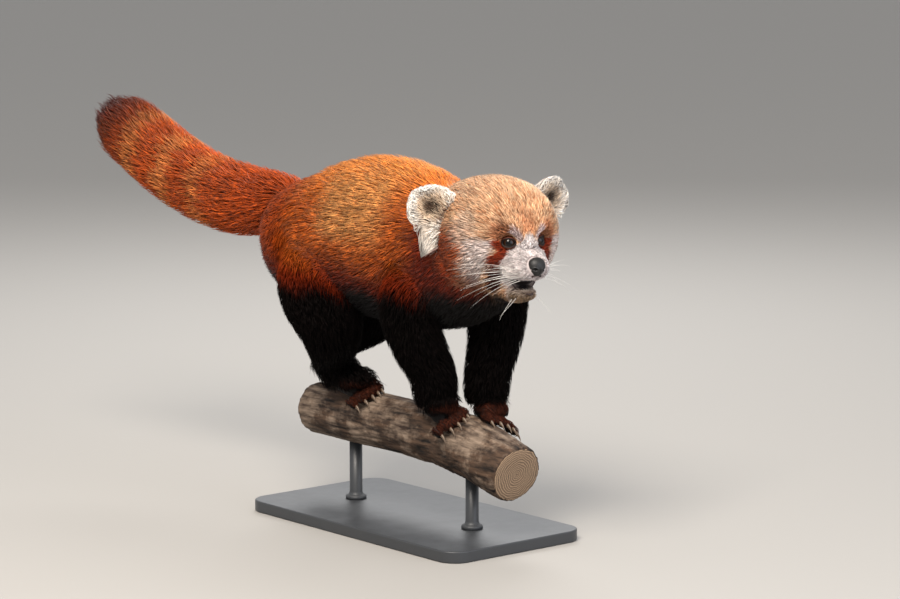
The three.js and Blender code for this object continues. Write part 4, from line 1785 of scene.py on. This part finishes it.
    def tuft_piece(self, name: str, points: np.ndarray, rings: int, spots: Spots,
                   colours: tuple) -> bpy.types.Object:
        """Makes one piece of the coat, with its colours and its map for baking.

        Args:
            name: The piece's name.
            points: Tufts by points by 3, in millimetres.
            rings: Rings of points under each tip.
            spots: Where the roots lie.
            colours: Root and tip colours.

        Returns:
            The new object.
        """
        count, each, _ = points.shape
        pattern = outwards(points[0], self.pattern(rings))
        faces = (pattern[None] + (np.arange(count) * each)[:, None, None]).reshape(-1, 3)
        piece = build_mesh(name, points.reshape(-1, 3) * MM, faces)
        rise = np.append(np.repeat(np.arange(rings) / rings, 3), 1.0)
        # Each blade runs from its root colour to its tip colour; the darker root is partly the hair's own
        # colour and partly painted shade at the base of the coat.
        tone = np.clip(rise, 0, 1)[None, :, None] ** self.tip_share
        paint(piece, (colours[0][:, None] * (1 - tone) + colours[1][:, None] * tone).reshape(-1, 3))
        beside = np.append(np.tile([0.0, 1.0, 0.5], rings), 0.5)
        patch = np.stack([beside, rise], 1) * BAKE_PATCH
        corner = self.unwrap(spots)[:, None, :] + patch[None]
        layer = piece.data.uv_layers.new(name=BAKE_MAP)
        loops = np.empty(len(piece.data.loops), np.int32)
        piece.data.loops.foreach_get("vertex_index", loops)
        layer.data.foreach_set("uv", corner.reshape(-1, 2)[loops].astype(np.float32).ravel())
        return piece

    @staticmethod
    def pattern(rings: int) -> np.ndarray:
        """The triangles of one blade: a cap at its root, its sides, and its tip.

        Args:
            rings: Rings of points under the tip.

        Returns:
            Rows of point numbers.
        """
        rows = [(0, 1, 2)]
        for ring in range(rings - 1):
            for corner in range(3):
                a, b = ring * 3 + corner, ring * 3 + (corner + 1) % 3
                rows += [(a, a + 3, b), (b, a + 3, b + 3)]
        last = (rings - 1) * 3
        rows += [(last + corner, last + 3, last + (corner + 1) % 3) for corner in range(3)]
        return np.array(rows)

    @staticmethod
    def unwrap(spots: Spots) -> np.ndarray:
        """Each root's place on the unwrapped skin: one tile for each part, along and round it.

        Args:
            spots: Where the points lie.

        Returns:
            Pairs from 0 to 1.
        """
        column, row = spots.part % 3, spots.part // 3
        round_ = (spots.angle / (2 * math.pi)) % 1.0
        return np.stack([(column + 0.05 + 0.88 * round_) / 3, (row + 0.05 + 0.88 * spots.share) / 3], 1)


@dataclass
class Eyes:
    """Two eyeballs with brown irises, and the dark rims of their lids."""

    radius: float = EYE_RADIUS
    iris: float = 0.86
    pupil: float = 0.48
    open_wide: float = 0.92
    open_tall: float = 0.53

    def ball(self, name: str, way: int) -> bpy.types.Object:
        """One eyeball, with a slightly raised cornea over the iris.

        Args:
            name: The piece's name.
            way: -1 for the right eye, 1 for the left.

        Returns:
            The new object.
        """
        turn = np.linspace(0.02, math.pi - 0.02, 40)
        angle = np.arange(48) * 2 * math.pi / 48
        r = self.radius * (1 + 0.05 * np.exp(-(turn / 0.55) ** 2))
        rings = np.stack([
            (r * np.cos(turn))[:, None] * np.ones(48), (r * np.sin(turn))[:, None] * np.cos(angle),
            (r * np.sin(turn))[:, None] * np.sin(angle),
        ], 2)
        points, faces = closed_loft(rings)
        matrix = eye_frame(way)
        theta = np.arccos(np.clip(points[:, 0] / np.linalg.norm(points, axis=1), -1, 1))
        brown = np.tile(linear("2A180B"), (len(theta), 1))
        iris = blend(brown, linear("0E0704"), soft(theta, 0.5, self.iris))
        colour = blend(iris, linear("050404"), soft(theta, self.pupil + 0.05, self.pupil - 0.05))
        colour = blend(colour, linear("120B08"), soft(theta, self.iris - 0.04, self.iris + 0.06))
        placed = points @ matrix[:3, :3].T + matrix[:3, 3]
        piece = solid(name, [(placed, faces)])
        paint(piece, colour)
        return piece

    def lid(self, name: str, way: int) -> bpy.types.Object:
        """The rim of both lids: an almond-shaped roll that leaves the ball and sinks into the skin.

        Args:
            name: The piece's name.
            way: -1 for the right eye, 1 for the left.

        Returns:
            The new object.
        """
        count = 56
        turn = np.arange(count) * 2 * math.pi / count
        corner = np.abs(np.cos(turn)) ** 6
        reach = 1 / np.sqrt((np.cos(turn) / self.open_wide) ** 2 + (np.sin(turn) / self.open_tall) ** 2)
        reach = reach * (1 + 0.06 * corner)
        rows = [(0.0, -0.5), (-0.01, 0.5), (0.05, 1.25), (0.14, 1.6), (0.26, 1.35), (0.40, 0.8), (0.58, -0.3),
                (0.62, -2.2), (0.2, -2.2)]
        rings = []
        for more, off in rows:
            theta = reach + more
            r = self.radius + off
            rings.append(np.stack([r * np.cos(theta), r * np.sin(theta) * np.cos(turn) * -way,
                                   r * np.sin(theta) * np.sin(turn)], 1))
        grid = np.array(rings)
        steps, sides = len(rows), count
        i, j = np.meshgrid(np.arange(steps), np.arange(sides), indexing="ij")
        a, b = (i * sides + j).ravel(), (i * sides + (j + 1) % sides).ravel()
        c, d = ((i + 1) % steps * sides + (j + 1) % sides).ravel(), ((i + 1) % steps * sides + j).ravel()
        faces = np.vstack([np.stack([a, b, d], 1), np.stack([b, c, d], 1)])
        matrix = eye_frame(way)
        placed = grid.reshape(-1, 3) @ matrix[:3, :3].T + matrix[:3, 3]
        piece = solid(name, [(placed, faces)])
        away = soft(np.array([more for more, _ in rows]), 0.04, 0.26)
        shades = blend(np.tile(linear("0A0605"), (steps, 1)), linear("6A3018"), away)
        paint(piece, np.repeat(shades, sides, 0))
        return piece


@dataclass
class Nose:
    """The nose pad: broad above, with comma-shaped nostrils and a groove down its middle."""

    size: tuple = NOSE_SIZE

    def build(self) -> bpy.types.Object:
        """Makes the pad as a fine ball whose points are moved.

        Returns:
            The new object.
        """
        steps, sides = 80, 96
        turn = np.linspace(0.01, math.pi - 0.01, steps)
        angle = np.arange(sides) * 2 * math.pi / sides
        rings = np.stack([np.cos(turn)[:, None] * np.ones(sides), np.sin(turn)[:, None] * np.cos(angle),
                          np.sin(turn)[:, None] * np.sin(angle)], 2)
        ball, faces = closed_loft(rings)
        x, y, z = ball.T
        y = y * (1 + 0.12 * z) * (1 - 0.06 * soft(-z, 0.2, 1.0))
        side = np.abs(y)
        out = np.ones(len(x))
        hole = np.hypot((side - 0.52 - 0.25 * (z + 0.12)) / 0.17, (z + 0.16) / 0.13)
        wing = np.hypot((side - 0.78) / 0.16, (z + 0.24) / 0.06)
        out -= 0.34 * np.exp(-hole ** 4) * (x > 0)
        out -= 0.16 * np.exp(-wing ** 2) * (x > -0.1)
        out -= 0.10 * np.exp(-(y / 0.045) ** 2) * soft(-z, 0.02, 0.3) * (x > 0)
        out += 0.05 * np.exp(-((hole - 1.5) / 0.5) ** 2) * (x > 0)
        own = np.stack([x, y, z], 1) * out[:, None] * np.array(self.size) + np.array(NOSE_AT)
        return solid("nose_pad", [(from_head(own), faces)])


def sweep(name: str, lines: list, finish: bpy.types.Material, sides: int = 6) -> bpy.types.Object:
    """Sweeps round, tapered strands along bent lines with Geometry Nodes.

    Args:
        name: The piece's name.
        lines: For each strand its points in millimetres and its radius at each point.
        finish: The strands' material.
        sides: Corners of their section.

    Returns:
        A plain mesh object.
    """
    points = np.vstack([line for line, _ in lines]) * MM
    radii = np.concatenate([radius for _, radius in lines]) * MM
    edges, start = [], 0
    for line, _ in lines:
        edges += [(start + k, start + k + 1) for k in range(len(line) - 1)]
        start += len(line)
    mesh = bpy.data.meshes.new(name + "_lines")
    mesh.from_pydata(points.tolist(), edges, [])
    layer = mesh.attributes.new("strand_radius", "FLOAT", "POINT")
    layer.data.foreach_set("value", radii.astype(np.float32))
    source = bpy.data.objects.new(name + "_lines", mesh)
    bpy.context.scene.collection.objects.link(source)
    tree = bpy.data.node_groups.new(name + "_sweep", "GeometryNodeTree")
    tree.interface.new_socket("Lines", in_out="INPUT", socket_type="NodeSocketGeometry")
    tree.interface.new_socket("Corners", in_out="INPUT", socket_type="NodeSocketInt")
    tree.interface.new_socket("Strands", in_out="OUTPUT", socket_type="NodeSocketGeometry")
    start_ = add_node(tree, "NodeGroupInput")
    curve = add_node(tree, "GeometryNodeMeshToCurve", {0: start_.outputs["Lines"]})
    radius = add_node(tree, "GeometryNodeInputNamedAttribute", {0: "strand_radius"}, data_type="FLOAT")
    scaled = add_node(tree, "GeometryNodeSetCurveRadius", {
        "Curve": curve.outputs[0], "Radius": radius.outputs[0],
    })
    ring = add_node(tree, "GeometryNodeCurvePrimitiveCircle", {
        "Resolution": start_.outputs["Corners"], "Radius": 1.0,
    })
    swept = add_node(tree, "GeometryNodeCurveToMesh", {
        "Curve": scaled.outputs[0], "Profile Curve": ring.outputs[0], "Fill Caps": True,
    })
    if "Scale" in swept.inputs:
        tree.links.new(radius.outputs[0], swept.inputs["Scale"])
    smooth = add_node(tree, "GeometryNodeSetShadeSmooth", {0: swept.outputs[0]})
    real = add_node(tree, "GeometryNodeRealizeInstances", {0: smooth.outputs[0]})
    dressed = add_node(tree, "GeometryNodeSetMaterial", {0: real.outputs[0], "Material": finish})
    end = add_node(tree, "NodeGroupOutput")
    tree.links.new(dressed.outputs[0], end.inputs[0])
    modifier = source.modifiers.new("Sweep", "NODES")
    modifier.node_group = tree
    for item in tree.interface.items_tree:
        if item.name == "Corners":
            modifier[item.identifier] = sides
    graph = bpy.context.evaluated_depsgraph_get()
    made = bpy.data.meshes.new_from_object(source.evaluated_get(graph))
    bpy.data.objects.remove(source)
    made.name = name
    piece = bpy.data.objects.new(name, made)
    bpy.context.scene.collection.objects.link(piece)
    return piece


@dataclass
class Mouth:
    """The dark lips that edge the slightly open mouth."""

    thick: float = 1.1
    corner: tuple = (58.0, -15.0, -46.5)

    def lines(self) -> list:
        """One bent line for each lip, from corner to corner.

        Returns:
            Points and radii of each.
        """
        made = []
        for form, inset, turn, xs in ((MUZZLE, MUZZLE_INSET, -1.95, (64, 71, 78, 84, 88, 90)),
                                      (JAW, JAW_INSET, 2.3, (60, 64, 68, 71, 74, 76))):
            share = np.interp(xs, form.knots[:, 0], np.linspace(0, 1, len(form.knots)))
            near = np.vstack([[self.corner], form.surface(share, np.full(len(xs), turn), -inset)])
            whole = np.vstack([near, (near * [1, -1, 1])[::-1]])
            fine = catmull(whole, np.linspace(0, 1, 70))
            radius = self.thick * (0.6 + 0.4 * np.sin(np.linspace(0, math.pi, 70)))
            made.append((from_head(fine), radius))
        return made


@dataclass
class Whiskers:
    """White whiskers on muzzle, brows and chin, thicker than the real ones so that they show."""

    radius: float = 0.25

    def lines(self) -> list:
        """The bent, tapered whiskers of both sides.

        Returns:
            Points and radii of each.
        """
        draw = np.random.default_rng(SEED + 3)
        made = []
        for way in (-1, 1):
            for row in range(4):
                for column in range(4):
                    root = np.array([80 - 5.5 * column, way * (16.5 + 2.0 * column), -26 - 4.2 * row])
                    aim = unit(np.array([-0.30 - 0.16 * column + 0.1 * draw.normal(), way,
                                         0.12 - 0.13 * row + 0.06 * draw.normal()]))
                    made.append(self.strand(root, aim, 40 + 7 * column + 5 * draw.normal(), draw))
            for spot in ((50, 14, 16), (47, 18, 18), (66, 14, -62), (60, 16, -64)):
                root = np.array([spot[0], way * spot[1], spot[2]], float)
                rise = 0.9 if spot[2] > 0 else -0.6
                aim = unit(np.array([0.25, way * 0.5, rise]) + 0.1 * draw.normal(size=3))
                made.append(self.strand(root, aim, 26, draw))
        return made

    def strand(self, root: np.ndarray, aim: np.ndarray, length: float, draw: np.random.Generator) -> tuple:
        """One whisker.

        Args:
            root: Its root in the head's frame.
            aim: Its direction there.
            length: Its length.
            draw: The row of random draws.

        Returns:
            Points in the model's frame, and radii.
        """
        share = np.linspace(0, 1, 12)
        sag = np.array([-0.25, 0.0, -0.35]) + 0.12 * draw.normal(size=3)
        line = root + aim * (share * length)[:, None] + sag * (share ** 2 * length * 0.6)[:, None]
        return from_head(line), self.radius * (1 - 0.85 * share)


@dataclass
class Claws:
    """The curved claws of all four paws."""

    def build(self) -> list:
        """One piece for each paw."""
        return [solid(f"claws_{name}", [closed_loft(paw.claw_rings(number)) for number in range(paw.toes)])
                for name, paw in zip(PAW_NAMES, PAWS)]


@dataclass
class Perch:
    """A cut length of weathered branch."""

    rings: int = 240
    sides: int = 144
    ridge: float = 1.5

    def build(self) -> tuple:
        """The bark and the two sawn ends.

        Returns:
            Two objects.
        """
        share = np.linspace(0, 1, self.rings)
        angle = np.arange(self.sides) * 2 * math.pi / self.sides
        big_share, big_angle = np.repeat(share, self.sides), np.tile(angle, self.rings)
        point, _, up, out, size = BRANCH.frame(big_share)
        run = big_share * (BRANCH_FRONT - BRANCH_BACK)
        round_ = np.stack([run / 7.0, 36 * np.cos(big_angle), 36 * np.sin(big_angle)], 1)
        ridges = np.abs(ripple(round_, 11.0, 41)) + 0.6 * np.abs(ripple(round_, 5.0, 42))
        swell = ripple(np.stack([run, 36 * np.cos(big_angle), 36 * np.sin(big_angle)], 1), 90.0, 43)
        fine = ripple(round_ * [3, 1, 1], 3.2, 44)
        radius = size[:, 0] - 0.9 + 0.9 * swell - self.ridge * (0.9 - ridges.clip(0, 0.9)) - 0.18 * fine
        edge = np.minimum(run, run.max() - run)
        radius = radius - 1.2 * np.exp(-edge / 1.5)
        away = out * np.cos(big_angle)[:, None] + up * np.sin(big_angle)[:, None]
        grid = (point + away * radius[:, None]).reshape(self.rings, self.sides, 3)
        bark = solid("perch_bark", [closed_loft(grid)])
        ends, reach = [], []
        for ring, step in ((grid[0], -1), (grid[-1], 1)):
            middle = ring.mean(0)
            way = unit(BRANCH.frame(np.array([0.0 if step < 0 else 1.0]))[1][0]) * step
            rows = [middle + (ring - middle) * s + way * d for s, d in
                    ((0.97, -1.5), (0.972, 0.25), (0.955, 0.5), (0.6, 0.35), (0.3, 0.45), (0.05, 0.3))]
            ends.append(closed_loft(np.array(rows)))
            reach.append(np.linalg.norm(ends[-1][0] - middle, axis=1) * MM)
        sawn = solid("perch_sawn_ends", ends)
        layer = sawn.data.attributes.new(GRAIN, "FLOAT", "POINT")
        layer.data.foreach_set("value", np.concatenate(reach).astype(np.float32))
        return bark, sawn


@dataclass
class Stand:
    """A flat steel base with rounded corners and two rods with collars."""

    length: float = 400.0
    width: float = 210.0
    thick: float = 14.0
    corner: float = 26.0
    edge: float = 1.8
    rod: float = 8.0
    reach: float = 112.0

    def outline(self, inset: float, height: float) -> np.ndarray:
        """The base's outline at a height.

        Args:
            inset: How far it is drawn in.
            height: The height.

        Returns:
            Places in millimetres.
        """
        made, bend = [], self.corner - inset
        for quarter, (sx, sy) in enumerate(((1, 1), (-1, 1), (-1, -1), (1, -1))):
            x, y = sx * (self.length / 2 - self.corner), sy * (self.width / 2 - self.corner)
            for turn in np.linspace(quarter, quarter + 1, 15) * math.pi / 2:
                made.append((x + bend * math.cos(turn), y + bend * math.sin(turn), height))
        return np.array(made)

    def base(self) -> bpy.types.Object:
        """The base, with its edges rounded.

        Returns:
            The new object.
        """
        e = self.edge
        rings = [self.outline(e * 0.6, 0.0), self.outline(0.15 * e, 0.25 * e), self.outline(0.0, 0.7 * e)]
        for turn in np.linspace(0, math.pi / 2, 7):
            rings.append(self.outline(e * (1 - math.cos(turn)), self.thick - e + e * math.sin(turn)))
        return solid("stand_plate", [closed_loft(np.array(rings))], smooth=False)

    def rods(self) -> bpy.types.Object:
        """Both rods, each with a low collar on the base.

        Returns:
            The new object.
        """
        parts = []
        angle = np.arange(40) * 2 * math.pi / 40
        for x in (-self.reach, self.reach):
            under = BRANCH.frame(np.array([(x - BRANCH_BACK) / (BRANCH_FRONT - BRANCH_BACK)]))[0][0, 2]
            top = under - BRANCH_RADIUS + 6
            base = self.thick
            profile = [(13.0, base), (13.0, base + 3.5), (12.4, base + 4.6), (10.2, base + 5.4),
                       (8.8, base + 7.0), (self.rod, base + 9.5), (self.rod, top)]
            rings = [np.stack([x + r * np.cos(angle), r * np.sin(angle), np.full(40, z)], 1)
                     for r, z in profile]
            parts.append(closed_loft(np.array(rings)))
        return solid("stand_rods", parts)


@dataclass
class Studio:
    """The plain floor, the soft lights and the camera at the photograph's viewing angle."""

    azimuth: float = 50.0
    elevation: float = 9.0
    focal_px: float = 3480.0
    frame_px: tuple = (900, 599)
    distance: float = 4000.0
    nose_mm: tuple = (262.0, -30.0, 353.0)
    nose_px: tuple = (537.0, 266.0)
    sensor: float = 36.0

    def floor(self) -> None:
        """A wide, pale round floor."""
        angle = np.arange(96) * 2 * math.pi / 96
        ring = np.stack([np.cos(angle), np.sin(angle), np.zeros(96)], 1)
        rings = np.array([ring * 0.5, ring * 4, ring * 24]) - [0, 0, 0.0004]
        below = rings[::-1] - [0, 0, 0.01]
        piece = solid("studio_floor", [closed_loft(np.vstack([rings, below]))], scale=1.0, smooth=False)
        piece.data.materials.append(StudioFloorFinish().build())

    def light(self, name: str, at: tuple, aim: tuple, size: float, watts: float, colour: str) -> None:
        """A soft square light that looks at a point.

        Args:
            name: Its name.
            at: Its place in metres.
            aim: The point.
            size: Its side in metres.
            watts: Its power.
            colour: Its sRGB hex colour.
        """
        data = bpy.data.lights.new(name, "AREA")
        data.shape, data.size, data.energy = "SQUARE", size, watts
        data.color = tuple(linear(colour))
        lamp = bpy.data.objects.new(name, data)
        lamp.location = at
        lamp.rotation_euler = (Vector(aim) - Vector(at)).to_track_quat("-Z", "Y").to_euler()
        bpy.context.scene.collection.objects.link(lamp)

    def lights(self) -> None:
        """A high key light, a fill, a rim light and a pale sky."""
        aim = (0.0, 0.0, 0.32)
        self.light("key_light", (0.9, -1.5, 2.3), aim, 1.2, 108, "FFF6EA")
        self.light("fill_light", (2.4, 0.4, 1.0), aim, 1.8, 26, "EAF1FF")
        self.light("rim_light", (-1.5, 1.3, 1.9), aim, 1.2, 40, "FFFFFF")
        world = bpy.data.worlds.new("studio_sky")
        world.use_nodes = True
        world.node_tree.nodes["Background"].inputs["Color"].default_value = rgba("E9EAEC")
        world.node_tree.nodes["Background"].inputs["Strength"].default_value = 0.8
        bpy.context.scene.world = world

    def camera(self) -> None:
        """The camera, placed so that the nose falls on its place in the picture."""
        a, e = math.radians(self.azimuth), math.radians(self.elevation)
        back = Vector((math.sin(a) * math.cos(e), -math.cos(a) * math.cos(e), math.sin(e)))
        right = Vector((math.cos(a), math.sin(a), 0.0))
        up = back.cross(right)
        scale = self.distance / self.focal_px
        beside = (self.nose_px[0] - self.frame_px[0] / 2) * scale
        above = (self.frame_px[1] / 2 - self.nose_px[1]) * scale
        spot = Vector(self.nose_mm) + back * self.distance - right * beside - up * above
        data = bpy.data.cameras.new("camera")
        data.sensor_width = self.sensor
        data.lens = self.focal_px / self.frame_px[0] * self.sensor
        data.clip_start, data.clip_end = 0.1, 80.0
        camera = bpy.data.objects.new("camera", data)
        camera.matrix_world = Matrix.Translation(spot * MM) @ Matrix((right, up, back)).transposed().to_4x4()
        bpy.context.scene.collection.objects.link(camera)
        bpy.context.scene.camera = camera

    def build(self) -> None:
        """Makes all of it, with a view that shows the colours of lit surfaces as they are."""
        bpy.context.scene.view_settings.view_transform = "Standard"
        self.floor()
        self.lights()
        self.camera()


FLESH = ("head", "neck", "torso", "tail_root", "tail_end", "ear_left", "ear_right", "foreleg_left",
         "foreleg_right", "hindleg_left", "hindleg_right", "forepaw_left", "forepaw_right",
         "hindpaw_left", "hindpaw_right")


def main() -> None:
    """Builds the animal, its perch, its stand and the studio."""
    logging.basicConfig(level=logging.INFO, format="%(name)s %(message)s")
    Studio().build()
    markings = Markings()
    skin = Skin()
    skin.build()
    root, tip = markings.at(Spots(skin.points, skin.normals))
    # The skin carries the markings, weighted to the darker root colour and dimmed by a fifth: painted shade
    # under the coat.
    paint(skin.piece, (root * 0.75 + tip * 0.25) * 0.8)
    place(skin.piece, "coat_red", SkinFinish().build(), *FLESH)
    by_slot = {slot: FurFinish(name, sheen=sheen, gloss=gloss).build() for slot, name, sheen, gloss in (
        ("coat_red", "dense guard fur", 0.03, 0.1), ("coat_tail", "bushy tail fur", 0.03, 0.1),
        ("coat_face", "short face fur", 0.04, 0.1), ("coat_white", "white ear fur", 0.08, 0.1),
        ("coat_black", "black leg fur", 0.0, 0.05))}
    for piece, slot in Coat(skin, markings).grow():
        place(piece, slot, by_slot[slot])
    eyes = Eyes()
    wet = WetEyeFinish().build()
    rim = SkinFinish("thinly haired lid", roughness=0.6, pore_mm=0.9).build()
    for side, way in (("right", -1), ("left", 1)):
        place(eyes.ball(f"eyeball_{side}", way), "eye", wet, f"eye_{side}")
        place(eyes.lid(f"eyelids_{side}", way), "eye", rim)
    leather = MoistSkinFinish("moist nose leather", "080707", "161514", roughness=0.5).build()
    place(Nose().build(), "nose_skin", leather, "nose")
    lip = MoistSkinFinish("moist lip", "1A0D0B", "3A211B", roughness=0.45).build()
    place(sweep("lips", Mouth().lines(), lip, sides=10), "nose_skin", lip)
    white = HornFinish("white whisker", "F4F1EC", "DAD5CC", roughness=0.5).build()
    place(sweep("whiskers", Whiskers().lines(), white), "coat_white", white)
    horn = HornFinish("pale claw horn", "7E6A56", "40322A").build()
    for piece in Claws().build():
        place(piece, "coat_black", horn)
    bark, ends = Perch().build()
    place(bark, "bark", BarkFinish().build(), "perch")
    place(ends, "bark", CutWoodFinish().build())
    stand = Stand()
    paint_ = SatinPaintFinish().build()
    place(stand.base(), "stand", paint_, "stand_base")
    place(stand.rods(), "stand", paint_, "stand_rod_back", "stand_rod_front")
    bpy.context.view_layer.update()


if __name__ == "__main__":
    main()
